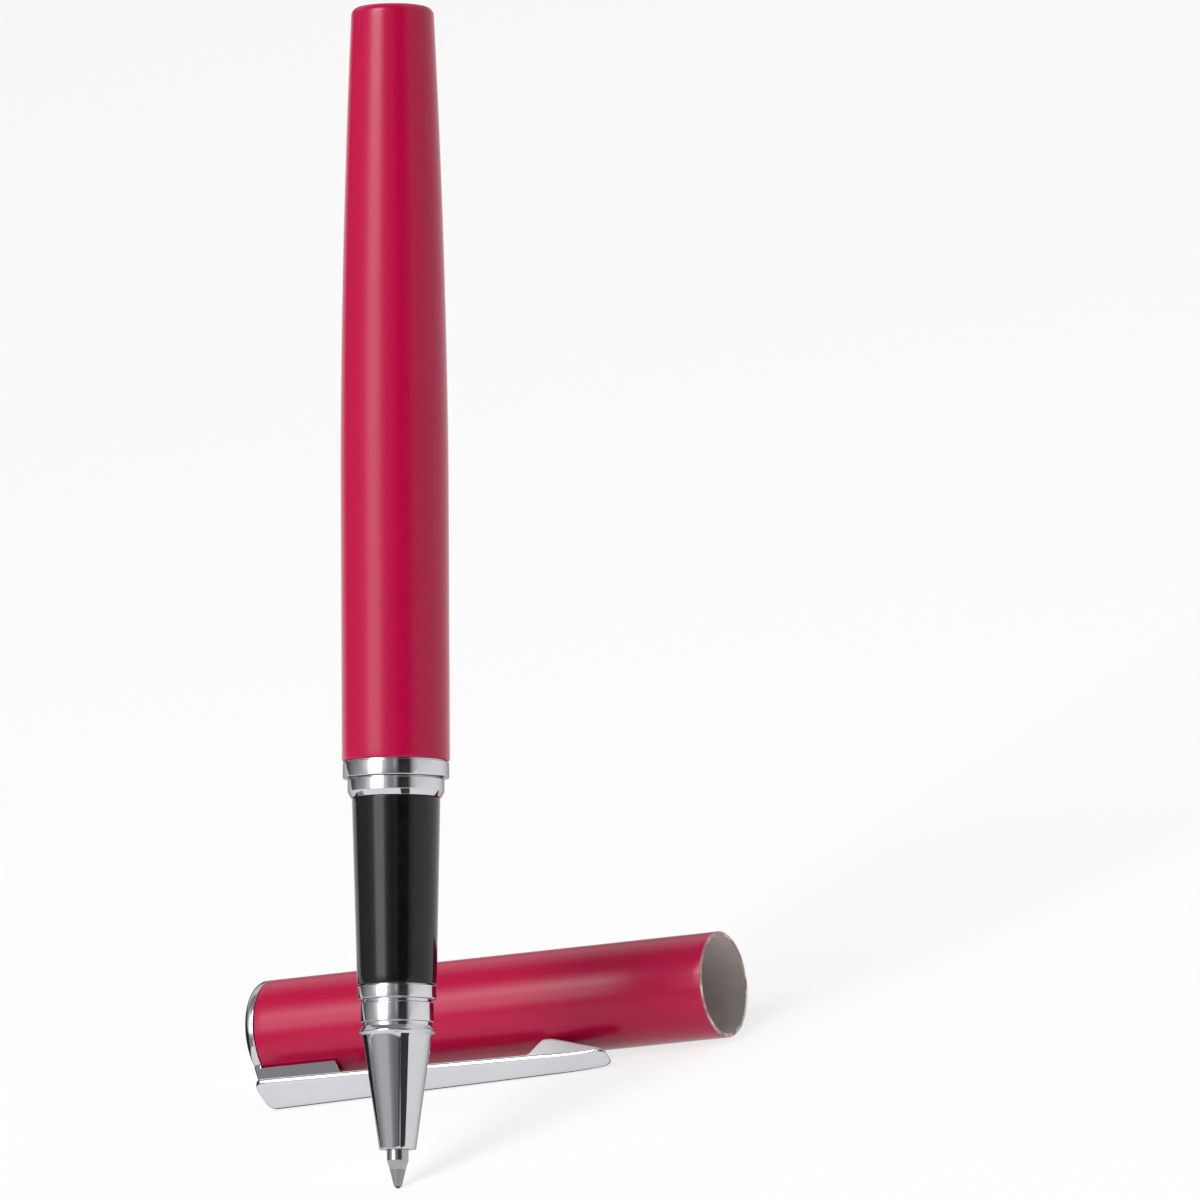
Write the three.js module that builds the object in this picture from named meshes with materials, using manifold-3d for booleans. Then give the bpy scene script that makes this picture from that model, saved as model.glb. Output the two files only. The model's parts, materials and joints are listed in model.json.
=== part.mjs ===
// A metal capped rollerball pen, in millimetres, +Z up. The pen stands on its ball, leaning
// back over its cap. The cap lies on the rim of its mouth and on the lower edge of its clip.
import * as THREE from 'three';
import { mergeVertices } from 'three/addons/utils/BufferGeometryUtils.js';
import Module from 'manifold-3d';

const wasm = await Module();
wasm.setup();

// Clearances
const RUNNING_GAP = 0.1;
const SEAT_GAP = 0.12;
const SEGMENTS = 44;
const INNER_SEGMENTS = 28;

// Ball and steel tip of the refill, heights along the pen's axis from the writing point
const BALL_RADIUS = 0.35;
const BALL_CLEARANCE = 0.06;
const LIP_HEIGHT = 0.22;
const LIP_RADIUS = 0.42;
const TIP_CONE_TOP = 2.05;
const TIP_CONE_RADIUS = 0.87;
const TIP_SHOULDER_TOP = 3;
const TIP_RADIUS = 1.17;
const TIP_REAR = 8.6;
const INK_BORE_RADIUS = 0.22;

// Rest of the refill
const HOLDER_FRONT = 7;
const HOLDER_REAR = 18.1;
const HOLDER_SPIGOT = 5;
const FEED_RADIUS = 0.5;
const REFILL_RADIUS = 3.05;
const REFILL_WALL = 0.3;
const PLUG_HEAD = 4.2;
const PLUG_SPIGOT = 2.8;
const PLUG_EDGE = 0.5;
const REFILL_SHOULDER = 16.9;
const REFILL_SHOULDER_SLOPE = 0.5;

// Nose cone and its three rings
const NOSE_FRONT = 4.15;
const NOSE_FRONT_WALL = 0.6;
const NOSE_HOLE_CLEARANCE = 0.2;
const NOSE_LIP = 2.1;
const NOSE_CONE_TOP = 16.45;
const NOSE_WALL = 0.5;
const NOSE_HOLDER_GAP = 0.25;
const NOSE_REFILL_GAP = 0.15;
const NOSE_EDGE = 0.12;
const FLARE_STEP = 0.39;
const FLARE_HEIGHT = 0.9;
const FLARE_RIM_BOTTOM = 0.24;
const FLARE_RIM_TOP = 0.48;
const LOWER_BAND_STEP = 0.2;
const LOWER_BAND_HEIGHT = 2;
const UPPER_BAND_STEP = 0.5;
const UPPER_BAND_HEIGHT = 1.4;
const GROOVE_HEIGHT = 0.45;
const NOSE_SPIGOT_LENGTH = 5.6;
const NOSE_SPIGOT_WALL = 0.46;
const NOSE_SPIGOT_STEP = 0.06;

// Grip section and the sleeve that carries the barrel's thread
const GRIP_FRONT_STEP = 0.55;
const GRIP_REAR_WALL = 0.75;
const GRIP_LENGTH = 20.1;
const GRIP_EDGE = 0.15;
const SLEEVE_PLAY = 0.2;
const SLEEVE_WALL = 0.65;
const SLEEVE_IN_GRIP = 9;
const THREAD_ROOT_STEP = 0.08;
const THREAD_DEPTH = 0.32;
const THREAD_LEAD = 1;
const THREAD_TURNS = 6;
const THREAD_ROWS = 5;
const THREAD_SIDES = 28;
const THREAD_NECK = 1;
const THREAD_LEAD_OUT = 1.2;

// Two-step ring
const COLLAR_STEP = 0.45;
const COLLAR_HEIGHT = 1.87;
const COLLAR_BEVEL_HEIGHT = 0.55;
const COLLAR_BEVEL_DEPTH = 0.32;
const RING_STEP = 0.08;
const RING_HEIGHT = 1.7;
const RING_EDGE = 0.12;

// Barrel
const BARREL_LENGTH = 81.58;
const BARREL_STRAIGHT = 30;
const BARREL_TAPER_DEPTH = 1.37;
const BARREL_TAPER_POWER = 1.75;
const BARREL_TAPER_STEPS = 12;
const BARREL_WALL = 0.78;
const BARREL_END_WALL = 1.7;
const BARREL_TAIL_FILLET = 0.9;
const BARREL_FRONT_FILLET = 0.2;
const FILLET_STEPS = 5;
const BUSH_WALL = 0.52;
const BUSH_LENGTH = 9.2;

// Refill spring and the plug that it bears on
const SPRING_WIRE = 0.6;
const SPRING_STEP = 0.7;
const SPRING_TURNS = 6;
const SPRING_STEPS = 12;
const SPRING_SIDES = 6;
const SPRING_LENGTH = 9.4;
const SPRING_END_PITCH = 0.69;
const SEAT_HEAD_LENGTH = 5.69;
const SEAT_PILOT_PLAY = 0.25;
const SEAT_PILOT_LENGTH = 2.6;

// Cap, heights along its own axis from the mouth
const CAP_TAPER_DEPTH = 0.03;
const CAP_WALL = 0.45;
const CAP_LENGTH = 55;
const CAP_LIP = 0.15;
const CROWN_THICKNESS = 1.3;
const CROWN_FILLET = 0.85;
const CROWN_SPIGOT = 3.2;
const CROWN_BOSS_RADIUS = 2.4;
const CROWN_BOSS_LENGTH = 5.5;
const SCREW_HEAD_RADIUS = 1.9;
const SCREW_HEAD_HEIGHT = 1.2;
const SCREW_RADIUS = 1;
const SCREW_LENGTH = 5;
const SCREW_SLOT_WIDTH = 0.5;
const SCREW_SLOT_LENGTH = 4.6;
const SCREW_SLOT_DEPTH = 0.6;
const LINER_FRONT = 23;
const LINER_WALL = 0.75;
const LINER_SNAP_INTERFERENCE = 0.14;
const LINER_SNAP_HEIGHT = 1.6;
const LINER_SEAL_CLEARANCE = 0.5;
const LINER_SEAL_LENGTH = 4.5;
const LINER_FLOOR = 1.2;
const LINER_RADIAL_GAP = 0.12;

// Clip and the block that carries it
const CLIP_ROOT = 54.8;
const CLIP_CURL = 19;
const CLIP_TIP = 12.3;
const CLIP_ROOT_LIFT = 3.35;
const CLIP_CURL_LIFT = 3.23;
const CLIP_CURL_DROP = 0.45;
const CLIP_ROOT_WIDTH = 4.95;
const CLIP_CURL_WIDTH = 3.1;
const CLIP_THICKNESS = 0.75;
const CLIP_TIP_THICKNESS = 0.35;
const CLIP_BEVEL = 0.14;
const CLIP_LEAF_STEPS = 6;
const CLIP_FOOT_START = 21.6;
const CLIP_FOOT_REAR = 19.9;
const CLIP_FOOT_FRONT = 19.2;
const CLIP_FOOT_STEPS = 5;
const CLIP_FOOT_POWER = 1.1;
const CLIP_FOOT_NARROWING = 0.55;
const CLIP_FOOT_SIDE = 0.72;
const CLIP_END_STEPS = 12;
const CLIP_END_ROUNDING = 1.1;
const CLIP_END_FLAT = 0.7;
const CLIP_ROOT_ROUNDING = 0.9;
const CLIP_ROOT_STEPS = 3;
const CLIP_BLOCK_LENGTH = 8.9;
const CLIP_BLOCK_WIDTH = 2.3;
const CLIP_BLOCK_RAMP = 1.5;

// Places on the floor
const PEN_LEAN_BACK = 22.8;
const PEN_LEAN_SIDE = 4.4;
const PEN_BEHIND_MOUTH = 22.05;
const PEN_IN_FRONT = 42.4;

// Radii that follow from the refill's, outwards
const SLEEVE_BORE = REFILL_RADIUS + SLEEVE_PLAY;
const SLEEVE_RADIUS = SLEEVE_BORE + SLEEVE_WALL;
const THREAD_ROOT = SLEEVE_RADIUS + THREAD_ROOT_STEP;
const THREAD_CREST = THREAD_ROOT + THREAD_DEPTH;
const BUSH_BORE = THREAD_CREST + RUNNING_GAP;
const BUSH_RADIUS = BUSH_BORE + BUSH_WALL;
const BARREL_RADIUS = BUSH_RADIUS + RUNNING_GAP + BARREL_WALL;
const BARREL_TAIL_RADIUS = BARREL_RADIUS - BARREL_TAPER_DEPTH;
const RING_RADIUS = BARREL_RADIUS - RING_STEP;
const GRIP_REAR_RADIUS = SLEEVE_RADIUS + RUNNING_GAP + GRIP_REAR_WALL;
const COLLAR_RADIUS = GRIP_REAR_RADIUS + COLLAR_STEP;
const NOSE_CAVITY = REFILL_RADIUS + NOSE_REFILL_GAP;
const NOSE_SPIGOT_RADIUS = NOSE_CAVITY + NOSE_SPIGOT_WALL;
const NOSE_CONE_RADIUS = NOSE_SPIGOT_RADIUS + NOSE_SPIGOT_STEP;
const NOSE_HOLE = TIP_RADIUS + NOSE_HOLE_CLEARANCE;
const NOSE_FRONT_RADIUS = NOSE_HOLE + NOSE_FRONT_WALL;
const FLARE_RADIUS = NOSE_CONE_RADIUS + FLARE_STEP;
const LOWER_BAND_RADIUS = NOSE_CONE_RADIUS + LOWER_BAND_STEP;
const UPPER_BAND_RADIUS = NOSE_CONE_RADIUS + UPPER_BAND_STEP;
const GRIP_FRONT_RADIUS = NOSE_CONE_RADIUS + GRIP_FRONT_STEP;
const SPRING_RADIUS = REFILL_RADIUS - SPRING_STEP;
const SEAT_PILOT_RADIUS = SPRING_RADIUS - SPRING_WIRE / 2 - SEAT_PILOT_PLAY;
const CAP_MOUTH_RADIUS = BARREL_RADIUS;
const CAP_END_RADIUS = CAP_MOUTH_RADIUS - CAP_TAPER_DEPTH;
const CAP_BORE = CAP_MOUTH_RADIUS - CAP_WALL;
const CLIP_ROOT_HEIGHT = CAP_MOUTH_RADIUS + CLIP_ROOT_LIFT;
const CLIP_CURL_HEIGHT = CAP_MOUTH_RADIUS + CLIP_CURL_LIFT;

// Heights that follow from the sizes above
const FEED_FRONT = TIP_REAR + 2 * RUNNING_GAP;
const FEED_REAR = HOLDER_REAR + HOLDER_SPIGOT - RUNNING_GAP;
const FLARE_TOP = NOSE_CONE_TOP + FLARE_HEIGHT;
const LOWER_BAND_BOTTOM = FLARE_TOP + GROOVE_HEIGHT;
const LOWER_BAND_TOP = LOWER_BAND_BOTTOM + LOWER_BAND_HEIGHT;
const UPPER_BAND_BOTTOM = LOWER_BAND_TOP + GROOVE_HEIGHT;
const NOSE_REAR = UPPER_BAND_BOTTOM + UPPER_BAND_HEIGHT;
const GRIP_FRONT = NOSE_REAR + SEAT_GAP;
const GRIP_REAR = GRIP_FRONT + GRIP_LENGTH;
const COLLAR_FRONT = GRIP_REAR + SEAT_GAP;
const COLLAR_REAR = COLLAR_FRONT + COLLAR_HEIGHT;
const RING_FRONT = COLLAR_REAR + SEAT_GAP;
const RING_REAR = RING_FRONT + RING_HEIGHT;
const BARREL_FRONT = RING_REAR + SEAT_GAP;
const BARREL_REAR = BARREL_FRONT + BARREL_LENGTH;
const TAPER_START = BARREL_FRONT + BARREL_STRAIGHT;
const THREAD_FRONT = COLLAR_REAR + THREAD_NECK;
const THREAD_REAR = THREAD_FRONT + THREAD_TURNS * THREAD_LEAD;
const SEAT_REAR = BARREL_REAR - BARREL_END_WALL - SEAT_GAP;
const SEAT_FRONT = SEAT_REAR - SEAT_HEAD_LENGTH;
const SPRING_FRONT = SEAT_FRONT - RUNNING_GAP - SPRING_LENGTH;
const REFILL_REAR = SPRING_FRONT - RUNNING_GAP;

const SURFACES = {
  lacquer: { color: 0xb3123c, roughness: 0.38, metalness: 0.55 },
  chrome: { color: 0xd9dade, roughness: 0.08, metalness: 1 },
  black: { color: 0x0a0a0b, roughness: 0.14, metalness: 0 },
  brass: { color: 0xb8913f, roughness: 0.3, metalness: 1 },
  steel: { color: 0x9c9a98, roughness: 0.3, metalness: 1 },
  plastic: { color: 0x2b2b2d, roughness: 0.55, metalness: 0 },
  liner: { color: 0x6f6963, roughness: 0.7, metalness: 0 },
  fibre: { color: 0x20242c, roughness: 0.95, metalness: 0 },
};

// Merges shared vertices, drops collapsed triangles and turns the faces outwards.
function closed(geometry) {
  const bare = geometry.clone();
  bare.deleteAttribute('normal');
  bare.deleteAttribute('uv');
  const merged = mergeVertices(bare, 1e-5);
  const index = merged.getIndex().array;
  const place = merged.getAttribute('position');
  const kept = [];
  const a = new THREE.Vector3();
  const b = new THREE.Vector3();
  const c = new THREE.Vector3();
  let volume = 0;
  for (let i = 0; i < index.length; i += 3) {
    const [p, q, r] = [index[i], index[i + 1], index[i + 2]];
    if (p === q || q === r || r === p) continue;
    kept.push(p, q, r);
    a.fromBufferAttribute(place, p);
    b.fromBufferAttribute(place, q);
    c.fromBufferAttribute(place, r);
    volume += a.dot(b.cross(c));
  }
  if (volume < 0) kept.reverse();
  merged.setIndex(kept);
  return merged;
}

function toSolid(geometry) {
  const shape = closed(geometry);
  return new wasm.Manifold(new wasm.Mesh({
    numProp: 3,
    vertProperties: new Float32Array(shape.getAttribute('position').array),
    triVerts: new Uint32Array(shape.getIndex().array),
  }));
}

function toGeometry(solid) {
  const mesh = solid.getMesh();
  const geometry = new THREE.BufferGeometry();
  geometry.setAttribute('position', new THREE.BufferAttribute(mesh.vertProperties, 3));
  geometry.setIndex(new THREE.BufferAttribute(mesh.triVerts, 1));
  return geometry;
}

// Revolves a profile of [radius, height] points about Z.
function turned(profile, segments = SEGMENTS) {
  const points = profile.map(([radius, height]) => new THREE.Vector2(radius, height));
  return closed(new THREE.LatheGeometry(points, segments).rotateX(Math.PI / 2));
}

// A turned tube: the outer profile from front to rear, the inner one back again.
function turnedTube(outer, inner, segments) {
  return turned([...outer, ...inner.slice().reverse(), outer[0]], segments);
}

// Joins rings of as many points each into one solid, with flat ends.
function lofted(rings) {
  const sides = rings[0].length;
  const last = (rings.length - 1) * sides;
  const faces = [];
  for (let start = 0; start < last; start += sides) {
    for (let side = 0; side < sides; side += 1) {
      const [a, b] = [start + side, start + (side + 1) % sides];
      faces.push(a, b, b + sides, a, b + sides, a + sides);
    }
  }
  for (let side = 1; side < sides - 1; side += 1) {
    faces.push(0, side + 1, side, last, last + side, last + side + 1);
  }
  const geometry = new THREE.BufferGeometry();
  geometry.setAttribute('position', new THREE.Float32BufferAttribute(rings.flat(2), 3));
  geometry.setIndex(faces);
  return closed(geometry);
}

// Points of a quarter-round edge between two directions, about a centre.
function roundEdge(centreRadius, centreHeight, radius, from, to) {
  return Array.from({ length: FILLET_STEPS + 1 }, (_, i) => {
    const angle = from + (to - from) * i / FILLET_STEPS;
    return [centreRadius + radius * Math.cos(angle), centreHeight + radius * Math.sin(angle)];
  });
}

function part(name, geometry, surface) {
  const flat = geometry.index ? geometry.toNonIndexed() : geometry;
  flat.computeVertexNormals();
  const mesh = new THREE.Mesh(closed(flat), new THREE.MeshStandardMaterial(SURFACES[surface]));
  mesh.geometry.computeVertexNormals();
  mesh.name = name;
  return mesh;
}

// Refill

function writingBall() {
  const ball = new THREE.SphereGeometry(BALL_RADIUS, 16, 12).rotateX(Math.PI / 2);
  return part('writing_ball', ball.translate(0, 0, BALL_RADIUS), 'steel');
}

function refillTip() {
  const seat = BALL_RADIUS + BALL_CLEARANCE;
  const outer = [[LIP_RADIUS, LIP_HEIGHT], [TIP_CONE_RADIUS, TIP_CONE_TOP],
    [TIP_RADIUS, TIP_SHOULDER_TOP], [TIP_RADIUS, TIP_REAR]];
  const inner = [[LIP_RADIUS - BALL_CLEARANCE, LIP_HEIGHT], [seat, BALL_RADIUS], [seat, 2 * BALL_RADIUS],
    [INK_BORE_RADIUS, 2 * BALL_RADIUS + seat - INK_BORE_RADIUS], [INK_BORE_RADIUS, TIP_REAR]];
  return part('refill_tip', turnedTube(outer, inner, INNER_SEGMENTS), 'steel');
}

function noseOuterRadius(height) {
  const share = (height - NOSE_FRONT) / (NOSE_CONE_TOP - NOSE_FRONT);
  return NOSE_FRONT_RADIUS + (NOSE_CONE_RADIUS - NOSE_FRONT_RADIUS) * share;
}

function holderRadius(height) {
  return noseOuterRadius(height) - NOSE_WALL - NOSE_HOLDER_GAP;
}

function refillHolder() {
  const socket = TIP_RADIUS + RUNNING_GAP;
  const channel = FEED_RADIUS + RUNNING_GAP;
  const spigot = REFILL_RADIUS - REFILL_WALL - RUNNING_GAP;
  const shoulder = REFILL_SHOULDER - REFILL_SHOULDER_SLOPE;
  const outer = [[holderRadius(HOLDER_FRONT), HOLDER_FRONT], [holderRadius(shoulder), shoulder],
    [REFILL_RADIUS, REFILL_SHOULDER], [REFILL_RADIUS, HOLDER_REAR], [spigot, HOLDER_REAR],
    [spigot, HOLDER_REAR + HOLDER_SPIGOT]];
  const inner = [[socket, HOLDER_FRONT], [socket, TIP_REAR + RUNNING_GAP],
    [channel, TIP_REAR + RUNNING_GAP], [channel, HOLDER_REAR + HOLDER_SPIGOT]];
  return part('refill_holder', turnedTube(outer, inner, INNER_SEGMENTS), 'plastic');
}

function inkFeed() {
  const rod = [[0, FEED_FRONT], [FEED_RADIUS, FEED_FRONT], [FEED_RADIUS, FEED_REAR], [0, FEED_REAR]];
  return part('ink_feed', turned(rod, INNER_SEGMENTS / 2), 'fibre');
}

function refillTube() {
  const front = HOLDER_REAR + RUNNING_GAP;
  const rear = REFILL_REAR - PLUG_HEAD - RUNNING_GAP;
  const bore = REFILL_RADIUS - REFILL_WALL;
  const tube = turnedTube([[REFILL_RADIUS, front], [REFILL_RADIUS, rear]], [[bore, front], [bore, rear]],
    INNER_SEGMENTS);
  return part('refill_tube', tube, 'steel');
}

function inkReservoir() {
  const radius = REFILL_RADIUS - REFILL_WALL - RUNNING_GAP;
  const front = HOLDER_REAR + HOLDER_SPIGOT + SEAT_GAP;
  const rear = REFILL_REAR - PLUG_HEAD - PLUG_SPIGOT - RUNNING_GAP;
  const rod = [[0, front], [radius, front], [radius, rear], [0, rear]];
  return part('ink_reservoir', turned(rod, INNER_SEGMENTS), 'fibre');
}

function refillPlug() {
  const spigot = REFILL_RADIUS - REFILL_WALL - RUNNING_GAP;
  const headFront = REFILL_REAR - PLUG_HEAD;
  const plug = [[0, headFront - PLUG_SPIGOT], [spigot, headFront - PLUG_SPIGOT], [spigot, headFront],
    [REFILL_RADIUS, headFront], [REFILL_RADIUS, REFILL_REAR - PLUG_EDGE],
    [REFILL_RADIUS - PLUG_EDGE, REFILL_REAR], [0, REFILL_REAR]];
  return part('refill_plug', turned(plug, INNER_SEGMENTS), 'plastic');
}

// Section

function noseCone() {
  const lip = NOSE_FRONT + NOSE_LIP;
  const shoulder = REFILL_SHOULDER - 2 * REFILL_SHOULDER_SLOPE;
  const edge = NOSE_EDGE;
  const spigotRear = NOSE_REAR + NOSE_SPIGOT_LENGTH;
  const outer = [[NOSE_FRONT_RADIUS - edge, NOSE_FRONT], [NOSE_FRONT_RADIUS, NOSE_FRONT + edge],
    [NOSE_CONE_RADIUS, NOSE_CONE_TOP], [FLARE_RADIUS, NOSE_CONE_TOP + FLARE_RIM_BOTTOM],
    [FLARE_RADIUS - edge, NOSE_CONE_TOP + FLARE_RIM_TOP],
    [NOSE_CONE_RADIUS, FLARE_TOP], [NOSE_CONE_RADIUS, LOWER_BAND_BOTTOM - edge],
    [LOWER_BAND_RADIUS, LOWER_BAND_BOTTOM], [LOWER_BAND_RADIUS, LOWER_BAND_TOP],
    [NOSE_CONE_RADIUS, LOWER_BAND_TOP + edge], [NOSE_CONE_RADIUS, UPPER_BAND_BOTTOM - edge],
    [UPPER_BAND_RADIUS - edge, UPPER_BAND_BOTTOM], [UPPER_BAND_RADIUS, UPPER_BAND_BOTTOM + edge],
    [UPPER_BAND_RADIUS, NOSE_REAR - edge], [UPPER_BAND_RADIUS - edge, NOSE_REAR],
    [NOSE_SPIGOT_RADIUS, NOSE_REAR], [NOSE_SPIGOT_RADIUS, spigotRear]];
  const inner = [[NOSE_HOLE, NOSE_FRONT], [NOSE_HOLE, lip], [noseOuterRadius(lip) - NOSE_WALL, lip],
    [noseOuterRadius(shoulder) - NOSE_WALL, shoulder],
    [NOSE_CAVITY, shoulder + REFILL_SHOULDER_SLOPE], [NOSE_CAVITY, spigotRear]];
  return part('nose_cone', turnedTube(outer, inner), 'chrome');
}

function gripSection() {
  const frontBore = NOSE_SPIGOT_RADIUS + RUNNING_GAP;
  const frontStep = NOSE_REAR + NOSE_SPIGOT_LENGTH + SEAT_GAP;
  const rearBore = SLEEVE_RADIUS + RUNNING_GAP;
  const rearStep = GRIP_REAR - SLEEVE_IN_GRIP - SEAT_GAP;
  const outer = [[GRIP_FRONT_RADIUS - GRIP_EDGE, GRIP_FRONT], [GRIP_FRONT_RADIUS, GRIP_FRONT + GRIP_EDGE],
    [GRIP_REAR_RADIUS, GRIP_REAR - GRIP_EDGE], [GRIP_REAR_RADIUS - GRIP_EDGE, GRIP_REAR]];
  const inner = [[frontBore, GRIP_FRONT], [frontBore, frontStep], [SLEEVE_BORE, frontStep],
    [SLEEVE_BORE, rearStep], [rearBore, rearStep], [rearBore, GRIP_REAR]];
  return part('grip_section', turnedTube(outer, inner), 'black');
}

function sectionCollar() {
  const bore = SLEEVE_RADIUS + RUNNING_GAP;
  const outer = [[COLLAR_RADIUS - COLLAR_BEVEL_DEPTH, COLLAR_FRONT],
    [COLLAR_RADIUS, COLLAR_FRONT + COLLAR_BEVEL_HEIGHT], [COLLAR_RADIUS, COLLAR_REAR - RING_EDGE],
    [COLLAR_RADIUS - RING_EDGE, COLLAR_REAR]];
  return part('section_collar', turnedTube(outer, [[bore, COLLAR_FRONT], [bore, COLLAR_REAR]]), 'chrome');
}

// Radius of the male thread's flank at a turn angle and a height.
function threadRadius(angle, height) {
  const swing = Math.cos(2 * Math.PI * (height - THREAD_FRONT) / THREAD_LEAD - angle);
  return (THREAD_ROOT + THREAD_CREST) / 2 + swing * (THREAD_CREST - THREAD_ROOT) / 2;
}

function sectionSleeve() {
  const front = GRIP_REAR - SLEEVE_IN_GRIP;
  const rear = THREAD_REAR + THREAD_LEAD_OUT;
  const rows = [[() => SLEEVE_BORE, front], [() => SLEEVE_RADIUS, front],
    [() => SLEEVE_RADIUS, THREAD_FRONT - THREAD_LEAD / THREAD_ROWS]];
  for (let i = 0; i <= THREAD_TURNS * THREAD_ROWS; i += 1) {
    const height = THREAD_FRONT + i * THREAD_LEAD / THREAD_ROWS;
    rows.push([(angle) => threadRadius(angle, height), height]);
  }
  rows.push([() => THREAD_ROOT, THREAD_REAR + THREAD_LEAD / THREAD_ROWS], [() => THREAD_ROOT, rear],
    [() => SLEEVE_BORE, rear]);
  const points = [];
  const faces = [];
  rows.forEach(([radius, height], row) => {
    const next = (row + 1) % rows.length;
    for (let side = 0; side < THREAD_SIDES; side += 1) {
      const angle = side * 2 * Math.PI / THREAD_SIDES;
      points.push(radius(angle) * Math.cos(angle), radius(angle) * Math.sin(angle), height);
      const beside = (side + 1) % THREAD_SIDES;
      const [a, b] = [row * THREAD_SIDES + side, row * THREAD_SIDES + beside];
      const [c, d] = [next * THREAD_SIDES + beside, next * THREAD_SIDES + side];
      faces.push(a, b, c, a, c, d);
    }
  });
  const geometry = new THREE.BufferGeometry();
  geometry.setAttribute('position', new THREE.Float32BufferAttribute(points, 3));
  geometry.setIndex(faces);
  return part('section_sleeve', geometry, 'brass');
}

// Barrel

function barrelRadius(height) {
  const share = Math.max(0, (height - TAPER_START) / (BARREL_REAR - TAPER_START));
  return BARREL_RADIUS - (BARREL_RADIUS - BARREL_TAIL_RADIUS) * share ** BARREL_TAPER_POWER;
}

function taper(from, to, radiusAt) {
  return Array.from({ length: BARREL_TAPER_STEPS + 1 }, (_, i) => {
    const height = from + (to - from) * i / BARREL_TAPER_STEPS;
    return [radiusAt(height), height];
  });
}

function barrelTube() {
  const filletFront = BARREL_REAR - BARREL_TAIL_FILLET;
  const filletCentre = barrelRadius(filletFront) - BARREL_TAIL_FILLET;
  const frontEdge = roundEdge(BARREL_RADIUS - BARREL_FRONT_FILLET, BARREL_FRONT + BARREL_FRONT_FILLET,
    BARREL_FRONT_FILLET, -Math.PI / 2, 0);
  const tailEdge = roundEdge(filletCentre, filletFront, BARREL_TAIL_FILLET, 0, Math.PI / 2);
  const outer = [...frontEdge, ...taper(TAPER_START, filletFront, barrelRadius), ...tailEdge.slice(1),
    [0, BARREL_REAR]];
  const boreRadius = (height) => barrelRadius(height) - BARREL_WALL;
  const bore = [[boreRadius(BARREL_FRONT), BARREL_FRONT],
    ...taper(TAPER_START, BARREL_REAR - BARREL_END_WALL, boreRadius), [0, BARREL_REAR - BARREL_END_WALL]];
  return part('barrel_tube', turned([...bore.reverse(), ...outer]), 'lacquer');
}

function barrelRing() {
  const bore = BARREL_RADIUS - BARREL_WALL;
  const outer = [[RING_RADIUS - RING_EDGE, RING_FRONT], [RING_RADIUS, RING_FRONT + RING_EDGE],
    [RING_RADIUS, RING_REAR - RING_EDGE], [RING_RADIUS - RING_EDGE, RING_REAR]];
  return part('barrel_ring', turnedTube(outer, [[bore, RING_FRONT], [bore, RING_REAR]]), 'chrome');
}

function barrelBush() {
  const front = RING_FRONT + RUNNING_GAP;
  const rear = front + BUSH_LENGTH;
  const bush = turnedTube([[BUSH_RADIUS, front], [BUSH_RADIUS, rear]],
    [[BUSH_BORE, front], [BUSH_BORE, rear]]);
  return part('barrel_bush', bush, 'brass');
}

function springSeat() {
  const radius = BARREL_TAIL_RADIUS - BARREL_WALL - RUNNING_GAP;
  const pilotFront = SEAT_FRONT - SEAT_PILOT_LENGTH;
  const seat = [[0, pilotFront], [SEAT_PILOT_RADIUS, pilotFront], [SEAT_PILOT_RADIUS, SEAT_FRONT],
    [radius, SEAT_FRONT], [radius, SEAT_REAR], [0, SEAT_REAR]];
  return part('spring_seat', turned(seat, INNER_SEGMENTS), 'plastic');
}

// Share of the spring's rise at a share of its turns, with one close turn at each end.
function springRise(share) {
  const endTurn = 1 / SPRING_TURNS;
  const endRise = SPRING_END_PITCH / (SPRING_LENGTH - SPRING_WIRE);
  if (share < endTurn) return share / endTurn * endRise;
  if (share > 1 - endTurn) return 1 - (1 - share) / endTurn * endRise;
  return endRise + (share - endTurn) / (1 - 2 * endTurn) * (1 - 2 * endRise);
}

function refillSpring() {
  const wire = SPRING_WIRE / 2;
  const steps = SPRING_TURNS * SPRING_STEPS;
  const rings = Array.from({ length: steps + 1 }, (_, i) => {
    const angle = i / SPRING_STEPS * 2 * Math.PI;
    const height = SPRING_FRONT + wire + (SPRING_LENGTH - SPRING_WIRE) * springRise(i / steps);
    return Array.from({ length: SPRING_SIDES }, (__, side) => {
      const around = side * 2 * Math.PI / SPRING_SIDES;
      const radius = SPRING_RADIUS + wire * Math.cos(around);
      return [radius * Math.cos(angle), radius * Math.sin(angle), height + wire * Math.sin(around)];
    });
  });
  return part('refill_spring', lofted(rings), 'steel');
}

// Cap

function capRadius(height) {
  return CAP_MOUTH_RADIUS + (CAP_END_RADIUS - CAP_MOUTH_RADIUS) * height / CAP_LENGTH;
}

function capTube() {
  const endRadius = capRadius(CAP_LENGTH);
  const outer = [[CAP_MOUTH_RADIUS - CAP_LIP, 0], [CAP_MOUTH_RADIUS, CAP_LIP], [endRadius, CAP_LENGTH]];
  const inner = [[CAP_BORE, 0], [endRadius - CAP_WALL, CAP_LENGTH]];
  return part('cap_tube', turnedTube(outer, inner), 'lacquer');
}

function linerRear() {
  return CAP_LENGTH + SEAT_GAP - CROWN_BOSS_LENGTH - RUNNING_GAP;
}

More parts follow.
